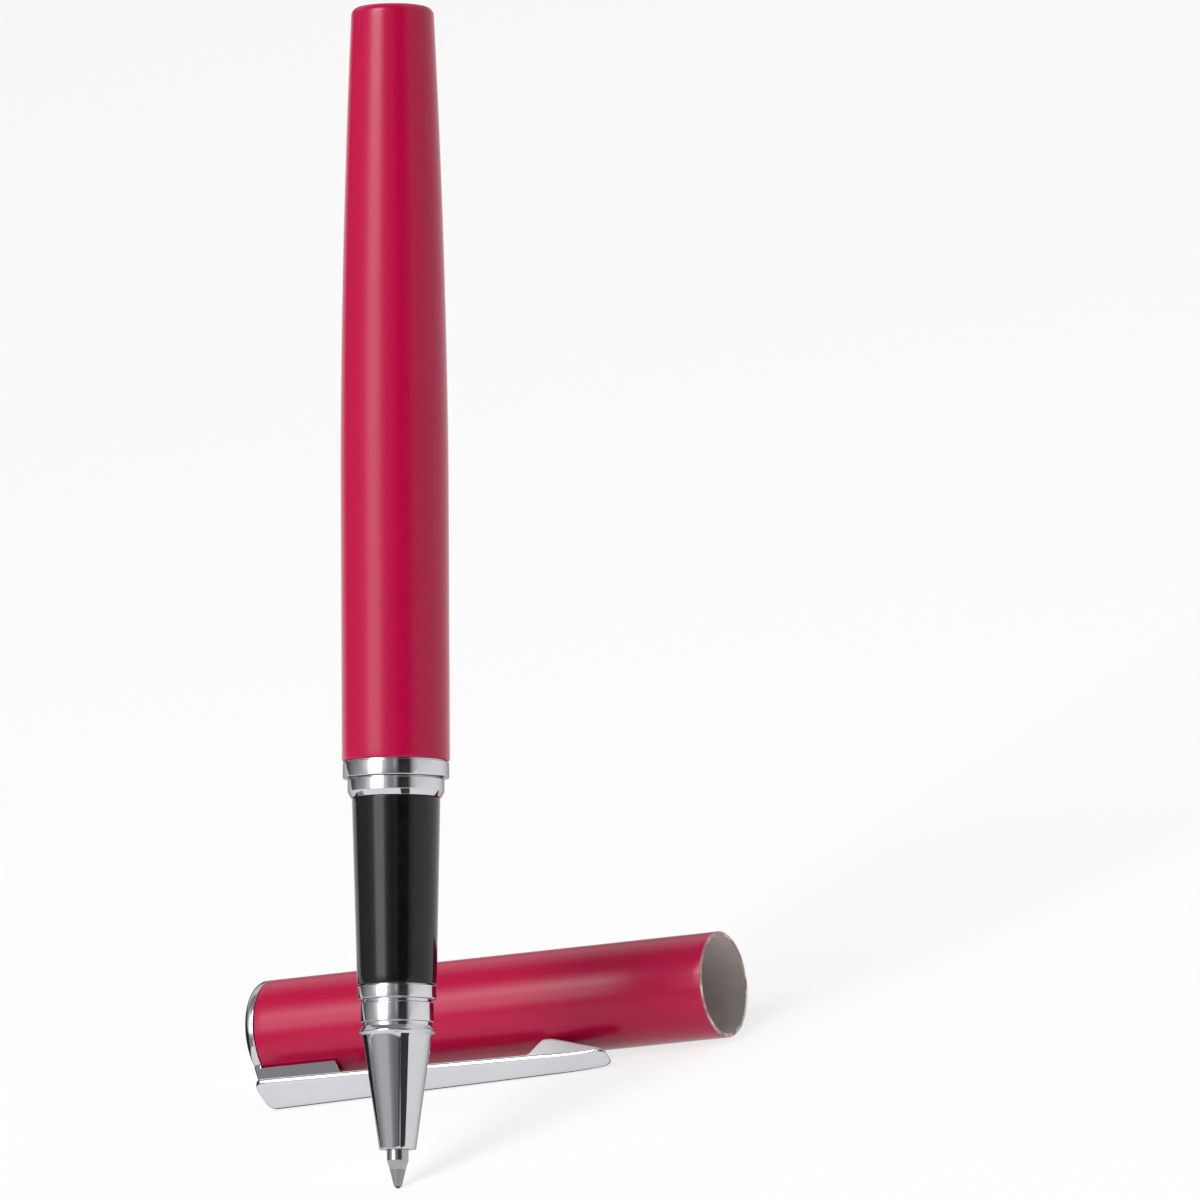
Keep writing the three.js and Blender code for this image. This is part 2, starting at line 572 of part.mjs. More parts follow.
function capLiner() {
  const rear = linerRear();
  const outerAt = (height) => capRadius(height) - CAP_WALL - LINER_RADIAL_GAP;
  const boreAt = (height) => outerAt(height) - LINER_WALL;
  const flareDepth = COLLAR_REAR - FLARE_TOP;
  const snap = FLARE_RADIUS - LINER_SNAP_INTERFERENCE;
  const snapFront = flareDepth - LINER_SNAP_HEIGHT;
  const seal = NOSE_FRONT_RADIUS + LINER_SEAL_CLEARANCE;
  const floor = rear - LINER_FLOOR;
  const screw = SCREW_RADIUS + RUNNING_GAP;
  const outer = [[outerAt(LINER_FRONT), LINER_FRONT], [outerAt(rear), rear]];
  const inner = [[boreAt(LINER_FRONT), LINER_FRONT], [boreAt(snapFront), snapFront],
    [snap, snapFront + LINER_SNAP_HEIGHT / 2], [boreAt(flareDepth), flareDepth],
    [boreAt(floor), floor - LINER_SEAL_LENGTH], [seal, floor - LINER_SEAL_LENGTH + LINER_SEAL_CLEARANCE],
    [seal, floor], [screw, floor], [screw, rear]];
  return part('cap_liner', turnedTube(outer, inner), 'liner');
}

// Share of the way from the clip's root to where its tip starts to curl.
function clipShare(z) {
  return (CLIP_ROOT - z) / (CLIP_ROOT - CLIP_CURL);
}

// Height of the clip's outer face above the cap's axis.
function clipHeight(z) {
  const curl = Math.max(0, (CLIP_CURL - z) / (CLIP_CURL - CLIP_TIP));
  return CLIP_ROOT_HEIGHT + (CLIP_CURL_HEIGHT - CLIP_ROOT_HEIGHT) * clipShare(z)
    - CLIP_CURL_DROP * curl ** 2;
}

function clipHalfWidth(z) {
  const half = (CLIP_ROOT_WIDTH + (CLIP_CURL_WIDTH - CLIP_ROOT_WIDTH) * clipShare(z)) / 2;
  const end = Math.max(0, 1 - (z - CLIP_TIP) / CLIP_END_ROUNDING);
  const corner = Math.max(0, 1 - (CLIP_ROOT - z) / CLIP_ROOT_ROUNDING);
  return CLIP_END_FLAT + (half - CLIP_END_FLAT) * Math.sqrt(1 - end ** 2)
    - CLIP_ROOT_ROUNDING * (1 - Math.sqrt(1 - corner ** 2));
}

// How far the foot stands in from the leaf at a height: 0 is the leaf, 1 is the foot's crest.
function footShare(z) {
  if (z >= CLIP_FOOT_START) return 0;
  if (z >= CLIP_FOOT_REAR) return THREE.MathUtils.smoothstep(-z, -CLIP_FOOT_START, -CLIP_FOOT_REAR);
  if (z >= CLIP_FOOT_FRONT) return 1;
  return 1 - ((CLIP_FOOT_FRONT - z) / (CLIP_FOOT_FRONT - CLIP_TIP)) ** CLIP_FOOT_POWER;
}

// A block that is evenly wide across the clip, from [height above the axis, place along the axis].
function acrossClip(outline, width) {
  const shape = new THREE.Shape(outline.map(([x, z]) => new THREE.Vector2(x, z)));
  const slab = new THREE.ExtrudeGeometry(shape, { depth: width, bevelEnabled: false });
  return slab.translate(0, 0, -width / 2).rotateX(Math.PI / 2);
}

function capCrown() {
  const seat = CAP_LENGTH + SEAT_GAP;
  const top = seat + CROWN_THICKNESS;
  const rim = capRadius(CAP_LENGTH);
  const spigot = rim - CAP_WALL - RUNNING_GAP;
  const tapRadius = SCREW_RADIUS - RUNNING_GAP;
  const bossFront = seat - CROWN_BOSS_LENGTH;
  const tapEnd = bossFront + SCREW_LENGTH - LINER_FLOOR + RUNNING_GAP;
  const edge = roundEdge(rim - CROWN_FILLET, top - CROWN_FILLET, CROWN_FILLET, 0, Math.PI / 2);
  const profile = [[tapRadius, bossFront], [CROWN_BOSS_RADIUS, bossFront],
    [CROWN_BOSS_RADIUS, seat - CROWN_SPIGOT], [spigot, seat - CROWN_SPIGOT], [spigot, seat], [rim, seat],
    ...edge, [0, top], [0, tapEnd], [tapRadius, tapEnd], [tapRadius, bossFront]];
  const inner = rim + RUNNING_GAP;
  const outer = (z) => clipHeight(z) - CLIP_THICKNESS - SEAT_GAP;
  const blockFront = CLIP_ROOT - CLIP_BLOCK_LENGTH;
  const rampFront = blockFront - CLIP_BLOCK_RAMP;
  const tooth = rim - CROWN_FILLET;
  const outline = [[inner, blockFront], [outer(rampFront), rampFront], [outer(CLIP_ROOT), CLIP_ROOT],
    [inner, top - CROWN_FILLET / 2], [tooth, top - CROWN_FILLET / 2], [tooth, seat], [inner, seat]];
  const block = toSolid(acrossClip(outline, CLIP_BLOCK_WIDTH));
  const crown = toSolid(turned(profile)).add(block);
  return part('cap_crown', toGeometry(crown), 'chrome');
}

function crownScrew() {
  const headRear = linerRear() - LINER_FLOOR - RUNNING_GAP;
  const headFront = headRear - SCREW_HEAD_HEIGHT;
  const shank = SCREW_RADIUS - 2 * RUNNING_GAP;
  const tip = headRear + SCREW_LENGTH;
  const profile = [[0, headFront], [SCREW_HEAD_RADIUS, headFront], [SCREW_HEAD_RADIUS, headRear],
    [shank, headRear], [shank, tip], [0, tip]];
  const body = toSolid(turned(profile, INNER_SEGMENTS));
  const slot = new THREE.BoxGeometry(SCREW_SLOT_LENGTH, SCREW_SLOT_WIDTH, 2 * SCREW_SLOT_DEPTH);
  slot.translate(0, 0, headFront);
  return part('crown_screw', toGeometry(body.subtract(toSolid(slot))), 'steel');
}

// Evenly spaced places from one to another, without the last one.
function places(from, to, steps) {
  return Array.from({ length: steps }, (_, i) => from + (to - from) * i / steps);
}

// The clip's outline across its length: outer face, bevels, sides and the foot's crowned crest.
function clipRing(z) {
  const outer = clipHeight(z);
  const half = clipHalfWidth(z);
  const tipShare = Math.max(0, (CLIP_FOOT_FRONT - z) / (CLIP_FOOT_FRONT - CLIP_TIP));
  const thickness = CLIP_THICKNESS + (CLIP_TIP_THICKNESS - CLIP_THICKNESS) * tipShare;
  const bevel = Math.min(CLIP_BEVEL, thickness / 3);
  const foot = footShare(z);
  const under = outer - thickness;
  const crest = under + (capRadius(z) + RUNNING_GAP - under) * foot;
  const side = under + bevel + (crest - under) * CLIP_FOOT_SIDE;
  const crestHalf = (half - bevel) * (1 - CLIP_FOOT_NARROWING * foot);
  return [[outer, half - bevel, z], [outer - bevel, half, z], [side, half, z], [crest, crestHalf, z],
    [crest, -crestHalf, z], [side, -half, z], [outer - bevel, -half, z], [outer, bevel - half, z]];
}

function clipLeaf() {
  const cornerEnd = CLIP_ROOT - CLIP_ROOT_ROUNDING;
  const corner = places(Math.PI / 2, 0, CLIP_ROOT_STEPS)
    .map((turn) => cornerEnd + CLIP_ROOT_ROUNDING * Math.sin(turn));
  const stations = [...corner, ...places(cornerEnd, CLIP_FOOT_START, CLIP_LEAF_STEPS),
    ...places(CLIP_FOOT_START, CLIP_FOOT_REAR, CLIP_FOOT_STEPS), CLIP_FOOT_REAR,
    ...places(CLIP_FOOT_FRONT, CLIP_TIP, CLIP_END_STEPS), CLIP_TIP];
  return part('clip', lofted(stations.map(clipRing)), 'chrome');
}

// How the cap lies: the rim and the straight part of the clip's lower edge touch the floor.
function capRest() {
  const share = CLIP_CURL / CLIP_ROOT;
  const rootHeight = CLIP_ROOT_HEIGHT - CLIP_BEVEL;
  const along = CLIP_CURL_HEIGHT - CLIP_BEVEL - share * rootHeight;
  const across = (CLIP_CURL_WIDTH - share * CLIP_ROOT_WIDTH) / 2;
  const roll = Math.atan2(across, along)
    + Math.acos(CAP_MOUTH_RADIUS * (1 - share) / Math.hypot(along, across));
  const drop = rootHeight * Math.cos(roll) + CLIP_ROOT_WIDTH / 2 * Math.sin(roll);
  return { roll, tilt: Math.atan2(drop - CAP_MOUTH_RADIUS, CLIP_ROOT) };
}

function assemblePen() {
  const pen = new THREE.Group();
  pen.add(writingBall(), refillTip(), refillHolder(), inkFeed(), refillTube(), inkReservoir(),
    refillPlug(), noseCone(), gripSection(), sectionCollar(), sectionSleeve(), barrelTube(),
    barrelRing(), barrelBush(), refillSpring(), springSeat());
  const side = Math.sin(THREE.MathUtils.degToRad(PEN_LEAN_SIDE));
  const back = Math.sin(THREE.MathUtils.degToRad(PEN_LEAN_BACK));
  const axis = new THREE.Vector3(side, back, Math.sqrt(1 - side ** 2 - back ** 2));
  pen.quaternion.setFromUnitVectors(new THREE.Vector3(0, 0, 1), axis);
  pen.position.set(-PEN_BEHIND_MOUTH, -PEN_IN_FRONT, BALL_RADIUS).addScaledVector(axis, -BALL_RADIUS);
  return pen;
}

function assembleCap() {
  const cap = new THREE.Group();
  cap.add(capTube(), capLiner(), capCrown(), crownScrew(), clipLeaf());
  const { roll, tilt } = capRest();
  const rear = new THREE.Vector3(-Math.cos(tilt), 0, Math.sin(tilt));
  const up = new THREE.Vector3(Math.sin(tilt), 0, Math.cos(tilt));
  const toClip = new THREE.Vector3(0, -Math.sin(roll), 0).addScaledVector(up, -Math.cos(roll));
  const beside = new THREE.Vector3().crossVectors(rear, toClip);
  cap.quaternion.setFromRotationMatrix(new THREE.Matrix4().makeBasis(toClip, beside, rear));
  cap.position.copy(up).multiplyScalar(CAP_MOUTH_RADIUS);
  return cap;
}

// The origin is on the floor, under the middle of the space that pen and cap take up.
function assemble() {
  const set = new THREE.Group();
  set.add(assemblePen(), assembleCap());
  set.updateMatrixWorld(true);
  const box = new THREE.Box3().setFromObject(set, true);
  const middle = box.getCenter(new THREE.Vector3());
  set.position.set(-middle.x, -middle.y, -box.min.z);
  set.updateMatrixWorld(true);
  return set;
}

export default assemble();
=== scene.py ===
import json
import math

import bmesh
import bpy
from mathutils import Matrix, Vector


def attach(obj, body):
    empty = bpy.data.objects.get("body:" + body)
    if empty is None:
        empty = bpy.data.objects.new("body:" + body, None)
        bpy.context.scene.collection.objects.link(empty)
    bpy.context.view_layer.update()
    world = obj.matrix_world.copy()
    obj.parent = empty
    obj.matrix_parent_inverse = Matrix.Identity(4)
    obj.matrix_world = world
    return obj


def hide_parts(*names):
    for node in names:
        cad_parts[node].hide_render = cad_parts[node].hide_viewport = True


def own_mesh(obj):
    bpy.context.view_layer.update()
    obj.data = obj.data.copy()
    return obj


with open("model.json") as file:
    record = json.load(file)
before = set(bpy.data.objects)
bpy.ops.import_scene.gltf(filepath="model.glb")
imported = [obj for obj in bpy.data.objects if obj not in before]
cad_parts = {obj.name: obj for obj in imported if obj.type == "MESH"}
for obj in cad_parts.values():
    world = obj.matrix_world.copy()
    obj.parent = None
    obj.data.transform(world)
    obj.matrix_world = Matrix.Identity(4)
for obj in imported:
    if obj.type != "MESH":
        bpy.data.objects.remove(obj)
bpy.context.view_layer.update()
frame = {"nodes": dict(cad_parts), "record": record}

# A metal capped rollerball pen, standing on its ball in front of its cap. Shapes are in
# millimetres, and a profile is a list of (radius, height) along the pen's or the cap's own axis.
# The pen's heights start at its ball, and the cap's at its mouth.

MM = 0.001
SIDES = 144
WELD = 1e-5
ON_AXIS = 1e-6

record = frame["record"]
joints = {joint["name"]: joint for joint in record["behaviour"]["joints"]}
mounts = {mount["name"]: mount for mount in record["mounts"]}

# Places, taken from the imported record

CROWN_FACE = 56.42
TAIL_FACE = 127.38


def placed(origin, x_axis, z_axis):
    """A matrix from millimetres along the given axes to metres in the frame."""
    z = Vector(z_axis).normalized()
    y = z.cross(Vector(x_axis)).normalized()
    x = y.cross(z)
    turn = Matrix((x, y, z)).transposed().to_4x4()
    return Matrix.Translation(origin) @ turn @ Matrix.Scale(MM, 4)


pen_axis = Vector(joints["barrel_unscrew"]["axis"]).normalized()
tail = Vector(mounts["tail_face"]["pos_m"])
PEN = placed(tail - pen_axis * TAIL_FACE * MM, joints["ball_roll"]["axis"], pen_axis)

cap_axis = Vector(mounts["crown_face"]["axis"]).normalized()
crown = Vector(mounts["crown_face"]["pos_m"])
to_clip = cap_axis.cross(Vector(joints["clip_flex"]["axis"]))
CAP = placed(crown - cap_axis * CROWN_FACE * MM, to_clip, cap_axis)

# Mesh helpers


def rounded(points, steps=5):
    """Points of (radius, height) or (radius, height, fillet), with the fillets turned into arcs."""
    out = []
    count = len(points)
    for i, point in enumerate(points):
        here = Vector(point[:2])
        fillet = point[2] if len(point) > 2 else 0
        if fillet == 0:
            out.append(tuple(here))
            continue
        before = (Vector(points[i - 1][:2]) - here).normalized()
        after = (Vector(points[(i + 1) % count][:2]) - here).normalized()
        half = before.angle(after) / 2
        reach = fillet / math.tan(half)
        centre = here + (before + after).normalized() * fillet / math.sin(half)
        start = here + before * reach - centre
        end = here + after * reach - centre
        turn = start.angle_signed(end)
        for step in range(steps + 1):
            angle = -turn * step / steps
            cos, sin = math.cos(angle), math.sin(angle)
            out.append((
                centre.x + start.x * cos - start.y * sin,
                centre.y + start.x * sin + start.y * cos,
            ))
    return out


def made(name, build, place, materials, sharp=32):
    """A new object from a bmesh builder, placed and shaded smooth up to an angle."""
    shape = bmesh.new()
    build(shape)
    bmesh.ops.remove_doubles(shape, verts=shape.verts, dist=WELD)
    bmesh.ops.recalc_face_normals(shape, faces=shape.faces)
    bmesh.ops.transform(shape, matrix=place, verts=shape.verts)
    mesh = bpy.data.meshes.new(name)
    shape.to_mesh(mesh)
    shape.free()
    for material in materials:
        mesh.materials.append(material)
    for polygon in mesh.polygons:
        polygon.use_smooth = True
    mesh.set_sharp_from_angle(angle=math.radians(sharp))
    obj = bpy.data.objects.new(name, mesh)
    bpy.context.scene.collection.objects.link(obj)
    weighted = obj.modifiers.new("weighted_normals", "WEIGHTED_NORMAL")
    weighted.keep_sharp = True
    return obj


def lathe(name, profile, place, materials, slot_at=None, sides=SIDES, loop=False):
    """Turns a profile about the axis. slot_at gives a face's material from its middle."""

    def build(shape):
        angles = [2 * math.pi * i / sides for i in range(sides)]
        rings = []
        for radius, height in profile:
            if radius < ON_AXIS:
                rings.append([shape.verts.new((0, 0, height))])
                continue
            rings.append([
                shape.verts.new((radius * math.cos(angle), radius * math.sin(angle), height))
                for angle in angles
            ])
        pairs = [(i, i + 1) for i in range(len(profile) - 1)]
        if loop:
            pairs.append((len(profile) - 1, 0))
        for a, b in pairs:
            middle = (Vector(profile[a]) + Vector(profile[b])) / 2
            index = slot_at(middle.x, middle.y) if slot_at else 0
            low, high = rings[a], rings[b]
            for i in range(sides):
                j = (i + 1) % sides
                corners = [low[i % len(low)], low[j % len(low)], high[j % len(high)], high[i % len(high)]]
                corners = list(dict.fromkeys(corners))
                if len(corners) > 2:
                    shape.faces.new(corners).material_index = index

    return made(name, build, place, materials)


def loft(name, rings, place, materials, slot_of, sharp=32):
    """Joins rings of points into one closed skin. slot_of gives a strip's material."""

    def build(shape):
        skin = [[shape.verts.new(point) for point in ring] for ring in rings]
        count = len(skin[0])
        for low, high in zip(skin, skin[1:]):
            for i in range(count):
                j = (i + 1) % count
                strip = shape.faces.new((low[i], low[j], high[j], high[i]))
                strip.material_index = slot_of(i)
        shape.faces.new(skin[0])
        shape.faces.new(skin[-1])

    return made(name, build, place, materials, sharp)


# Material helpers


def principled(name, color, roughness, metallic=0.0, ior=1.5):
    """A new material with a Principled shader whose plain values are set on its sockets."""
    material = bpy.data.materials.new(name)
    material.use_nodes = True
    tree = material.node_tree
    shader = tree.nodes["Principled BSDF"]
    shader.inputs["Base Color"].default_value = (*color, 1)
    shader.inputs["Roughness"].default_value = roughness
    shader.inputs["Metallic"].default_value = metallic
    shader.inputs["IOR"].default_value = ior
    return material, tree, shader


def object_place(tree, scale=(1, 1, 1), matrix=None):
    """Texture coordinates in metres, turned into a piece's own axes where a matrix is given."""
    coords = tree.nodes.new("ShaderNodeTexCoord")
    mapping = tree.nodes.new("ShaderNodeMapping")
    if matrix is not None:
        inverse = matrix.to_3x3().normalized().inverted()
        mapping.inputs["Rotation"].default_value = inverse.to_euler()
    mapping.inputs["Scale"].default_value = scale
    tree.links.new(coords.outputs["Object"], mapping.inputs["Vector"])
    return mapping.outputs["Vector"]


def noise(tree, vector, scale, detail=3.0, roughness=0.55):
    """A noise pattern from 0 to 1, with its scale in waves per metre."""
    node = tree.nodes.new("ShaderNodeTexNoise")
    node.inputs["Scale"].default_value = scale
    node.inputs["Detail"].default_value = detail
    node.inputs["Roughness"].default_value = roughness
    tree.links.new(vector, node.inputs["Vector"])
    return node.outputs["Fac"]


def ramp(tree, value, stops):
    """A value turned into a colour, by stops of (value, colour)."""
    node = tree.nodes.new("ShaderNodeValToRGB")
    elements = node.color_ramp.elements
    while len(elements) < len(stops):
        elements.new(0.5)
    for element, (position, color) in zip(elements, stops):
        element.position = position
        element.color = (*color, 1)
    tree.links.new(value, node.inputs["Fac"])
    return node.outputs["Color"]


def ranged(tree, value, low, high, start=0.0, end=1.0):
    """A value mapped from the range start to end onto the range low to high."""
    node = tree.nodes.new("ShaderNodeMapRange")
    node.inputs["From Min"].default_value = start
    node.inputs["From Max"].default_value = end
    node.inputs["To Min"].default_value = low
    node.inputs["To Max"].default_value = high
    tree.links.new(value, node.inputs["Value"])
    return node.outputs["Result"]


def bump(tree, shader, height, distance):
    """Fine relief on a shader's surface, as deep as the distance in metres."""
    node = tree.nodes.new("ShaderNodeBump")
    node.inputs["Distance"].default_value = distance
    node.inputs["Strength"].default_value = 1.0
    tree.links.new(height, node.inputs["Height"])
    tree.links.new(node.outputs["Normal"], shader.inputs["Normal"])


# Materials


def lacquer(name, place):
    """Satin crimson: fine flakes in the colour, a slightly uneven gloss and a fine peel."""
    material, tree, shader = principled(name, (0.43, 0.001, 0.046), 0.25)
    shader.inputs["Specular IOR Level"].default_value = 0.32
    vector = object_place(tree, matrix=place)
    flakes = noise(tree, vector, 9000, 1.0)
    color = ramp(tree, flakes, [
        (0.3, (0.395, 0.0008, 0.042)),
        (0.52, (0.43, 0.001, 0.048)),
        (0.75, (0.48, 0.002, 0.055)),
    ])
    tree.links.new(color, shader.inputs["Base Color"])
    cloud = noise(tree, vector, 160, 4.0)
    tree.links.new(ranged(tree, cloud, 0.21, 0.28), shader.inputs["Roughness"])
    bump(tree, shader, noise(tree, vector, 5200, 2.0), 0.000004)
    return material


def chrome(name, place, color=(0.65, 0.65, 0.675), roughness=0.06, edge=0.4, metallic=1.0):
    """Bright plating with faint polishing streaks round the axis, darker at a glance."""
    material, tree, shader = principled(name, color, roughness, metallic)
    shader.inputs["Specular Tint"].default_value = (edge, edge, edge, 1)
    vector = object_place(tree, (1, 1, 14), place)
    streaks = noise(tree, vector, 700, 5.0, 0.7)
    tree.links.new(
        ranged(tree, streaks, roughness - 0.025, roughness + 0.035), shader.inputs["Roughness"]
    )
    tint = ramp(tree, noise(tree, object_place(tree, matrix=place), 90, 2.0), [
        (0.3, tuple(0.95 * channel for channel in color)),
        (0.7, color),
    ])
    tree.links.new(tint, shader.inputs["Base Color"])
    return material


def turned_metal(name, place, color, roughness, lines=2200, depth=0.000003):
    """Bare metal with the fine lines of a lathe."""
    material, tree, shader = principled(name, color, roughness, 1.0)
    vector = object_place(tree, (0.02, 0.02, 1), place)
    grooves = noise(tree, vector, lines, 4.0, 0.7)
    tree.links.new(
        ranged(tree, grooves, roughness - 0.08, roughness + 0.1), shader.inputs["Roughness"]
    )
    bump(tree, shader, grooves, depth)
    tint = ramp(tree, noise(tree, object_place(tree, matrix=place), 400, 3.0), [
        (0.3, tuple(0.88 * channel for channel in color)),
        (0.7, color),
    ])
    tree.links.new(tint, shader.inputs["Base Color"])
    return material


def plastic(name, place, color, roughness, grain=1800):
    """Moulded plastic with a fine even grain."""
    material, tree, shader = principled(name, color, roughness)
    vector = object_place(tree, matrix=place)
    speckle = noise(tree, vector, grain, 3.0)
    tree.links.new(ranged(tree, speckle, roughness - 0.06, roughness + 0.06), shader.inputs["Roughness"])
    tint = ramp(tree, noise(tree, vector, 220, 3.0), [
        (0.3, tuple(0.86 * channel for channel in color)),
        (0.7, tuple(1.1 * channel for channel in color)),
    ])
    tree.links.new(tint, shader.inputs["Base Color"])
    bump(tree, shader, speckle, 0.000006)
    return material


def black_gloss(name, place):
    """Deep black lacquer, with a faint uneven gloss."""
    material, tree, shader = principled(name, (0.004, 0.004, 0.0045), 0.1, ior=1.42)
    vector = object_place(tree, matrix=place)
    tree.links.new(ranged(tree, noise(tree, vector, 240, 4.0), 0.07, 0.13), shader.inputs["Roughness"])
    tint = ramp(tree, noise(tree, vector, 900, 2.0), [
        (0.35, (0.003, 0.003, 0.0034)),
        (0.7, (0.006, 0.006, 0.0066)),
    ])
    tree.links.new(tint, shader.inputs["Base Color"])
    return material


def worn_lip(name, place):
    """The cut edge of the cap: bare metal where the lacquer has rubbed off, in uneven patches."""
    material, tree, shader = principled(name, (0.5, 0.3, 0.32), 0.4)
    vector = object_place(tree, matrix=place)
    patches = noise(tree, vector, 420, 4.0, 0.7)
    tint = ramp(tree, patches, [
        (0.38, (0.26, 0.13, 0.15)),
        (0.5, (0.46, 0.29, 0.31)),
        (0.64, (0.8, 0.7, 0.7)),
    ])
    tree.links.new(tint, shader.inputs["Base Color"])
    tree.links.new(ranged(tree, patches, 0.2, 0.9, 0.4, 0.65), shader.inputs["Metallic"])
    bump(tree, shader, patches, 0.00003)
    return material


def fibre(name, place):
    """Ink-soaked fibre, drawn out along the axis."""
    material, tree, shader = principled(name, (0.02, 0.024, 0.04), 0.85)
    strands = noise(tree, object_place(tree, (1, 1, 0.05), place), 2600, 4.0, 0.7)
    tint = ramp(tree, strands, [(0.3, (0.008, 0.01, 0.02)), (0.7, (0.05, 0.055, 0.08))])
    tree.links.new(tint, shader.inputs["Base Color"])
    bump(tree, shader, strands, 0.00005)
    return material


BARE_INSIDE = (0.64, 0.58, 0.545)

PEN_LACQUER = lacquer("lacquer_pen", PEN)
CAP_LACQUER = lacquer("lacquer_cap", CAP)
PEN_CHROME = chrome("chrome_pen", PEN)
CAP_CHROME = chrome("chrome_cap", CAP)
# A darker copy of the pen's chrome for the nose's cone: painted shade for the cone's darker reflections.
CONE_CHROME_PAINTED_SHADE = chrome("chrome_cone_painted_shade", PEN, (0.62, 0.62, 0.645))
CLIP_CHROME = chrome("chrome_clip", CAP, (0.7, 0.7, 0.735), 0.12)
# A near-black copy of the clip's chrome for its lower edge: painted shade, the dark line where the clip
# meets the floor.
CLIP_EDGE_PAINTED_SHADE = chrome("chrome_clip_edge_painted_shade", CAP, (0.1, 0.1, 0.105), 0.16, 0.1)
# A satin copy of the clip's chrome for its sides and crest. The finish is satin, and its whitish diffuse
# part is painted sheen in place of a reflection.
CLIP_SATIN_PAINTED_SHEEN = chrome("chrome_clip_satin_painted_sheen", CAP, (0.86, 0.86, 0.88), 0.3, metallic=0.3)
GRIP_BLACK = black_gloss("grip_black", PEN)
TIP_STEEL = turned_metal("tip_steel", PEN, (0.43, 0.42, 0.415), 0.2, 2200, 0.0000015)
TIP_MATTE = turned_metal("tip_matte", PEN, (0.33, 0.32, 0.32), 0.4, 3000, 0.000003)
BALL_STEEL = turned_metal("ball_steel", PEN, (0.08, 0.08, 0.09), 0.2)
REFILL_STEEL = turned_metal("refill_steel", PEN, (0.66, 0.66, 0.68), 0.28, 900)
SCREW_STEEL = turned_metal("screw_steel", CAP, (0.6, 0.6, 0.62), 0.3)
BRASS = turned_metal("thread_brass", PEN, (0.72, 0.52, 0.22), 0.24, 1500)
CAP_BARE = plastic("cap_bare_inside", CAP, BARE_INSIDE, 0.7, 900)
CAP_LIP = worn_lip("cap_lip", CAP)
BLACK_PLASTIC = plastic("black_plastic", PEN, (0.03, 0.03, 0.034), 0.48)
LINER_PLASTIC = plastic("liner_plastic", CAP, BARE_INSIDE, 0.7)
FIBRE = fibre("ink_fibre", PEN)


def ready(piece, body, slot, *nodes):
    """Puts a piece on its body and hides the nodes that it stands for. The slot, a finish's name, is not
    used.
    """
    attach(piece, body)
    if nodes:
        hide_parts(*nodes)


# Barrel

BARREL_FRONT = 45.8
TAPER_START = 75.8
TAIL_RADIUS = 4.43
BARREL_RADIUS = 5.8
BARREL_WALL = 0.78
TAPER_CURVE = 1.75
TAIL_FILLET = 0.9
TAIL_WALL = 1.7
BORE_END = TAIL_FACE - TAIL_WALL
TAPER_STEPS = 40
FILLET_STEPS = 9
BORE_STEPS = 12


def barrel_radius(height):
    """The barrel is straight at first and then tapers in a long curve to its tail."""
    share = max(0.0, (height - TAPER_START) / (TAIL_FACE - TAPER_START))
    return BARREL_RADIUS - (BARREL_RADIUS - TAIL_RADIUS) * share ** TAPER_CURVE


def barrel_profile():
    """The closed tube, from the end of its bore to its open front and back along the outside."""
    fillet_front = TAIL_FACE - TAIL_FILLET
    tail_radius = barrel_radius(fillet_front)
    outer = [(BARREL_RADIUS, BARREL_FRONT, 0.2)]
    outer += [(BARREL_RADIUS, BARREL_FRONT + step) for step in (1, 4, 10, 20)]
    for i in range(TAPER_STEPS + 1):
        height = TAPER_START + (fillet_front - TAPER_START) * i / TAPER_STEPS
        outer.append((barrel_radius(height), height))
    for i in range(1, FILLET_STEPS + 1):
        angle = math.pi / 2 * i / FILLET_STEPS
        outer.append((
            tail_radius - TAIL_FILLET + TAIL_FILLET * math.cos(angle),
            fillet_front + TAIL_FILLET * math.sin(angle),
        ))
    outer.append((0, TAIL_FACE))
    bore_front = BARREL_FRONT + 0.1
    inner = [(0, BORE_END)]
    for i in range(BORE_STEPS + 1):
        height = BORE_END + (bore_front - BORE_END) * i / BORE_STEPS
        inner.append((barrel_radius(height) - BARREL_WALL, height))
    return rounded(inner + [(BARREL_RADIUS - BARREL_WALL, BARREL_FRONT)] + outer)


def barrel_slot(radius, height):
    """Lacquer outside and brass in the bore, which ends short of the closed tail."""
    return int(radius < barrel_radius(height) - 0.9 * BARREL_WALL and height < BORE_END + 0.3)


barrel = lathe("barrel_shell", barrel_profile(), PEN, [PEN_LACQUER, BRASS], barrel_slot)
ready(barrel, "barrel", "crimson_lacquer", "barrel_tube")

BAND_FRONT = 43.98
BAND_REAR = 45.79
BAND_BORE = 5.02
BAND_RADIUS = 5.72
BAND_NECK = 5.45

band = lathe("barrel_band", rounded([
    (BAND_BORE, BAND_FRONT), (BAND_RADIUS, BAND_FRONT, 0.1), (BAND_RADIUS, 45.66, 0.1),
    (BAND_NECK, 45.68), (BAND_NECK, BAND_REAR), (BAND_BORE, BAND_REAR),
]), PEN, [PEN_CHROME], loop=True)
ready(band, "barrel", "chrome_trim", "barrel_ring")

# Section

COLLAR_FRONT = 41.89
COLLAR_REAR = 43.96
COLLAR_RADIUS = 5.2
COLLAR_NECK = 4.95
SLEEVE_BORE = 4.0

collar = lathe("section_band", rounded([
    (SLEEVE_BORE, COLLAR_FRONT), (4.86, COLLAR_FRONT, 0.06), (COLLAR_RADIUS, 42.52, 0.14),
    (COLLAR_RADIUS, 43.84, 0.1), (COLLAR_NECK, 43.86), (COLLAR_NECK, COLLAR_REAR),
    (SLEEVE_BORE, COLLAR_REAR),
]), PEN, [PEN_CHROME], loop=True)
ready(collar, "section", "chrome_trim", "section_collar")

GRIP_FRONT = 21.77
GRIP_REAR = 41.87
GRIP_BORE = 3.25
SLEEVE_SEAT = 32.75
NOSE_SOCKET = 3.76
SOCKET_END = 27.37

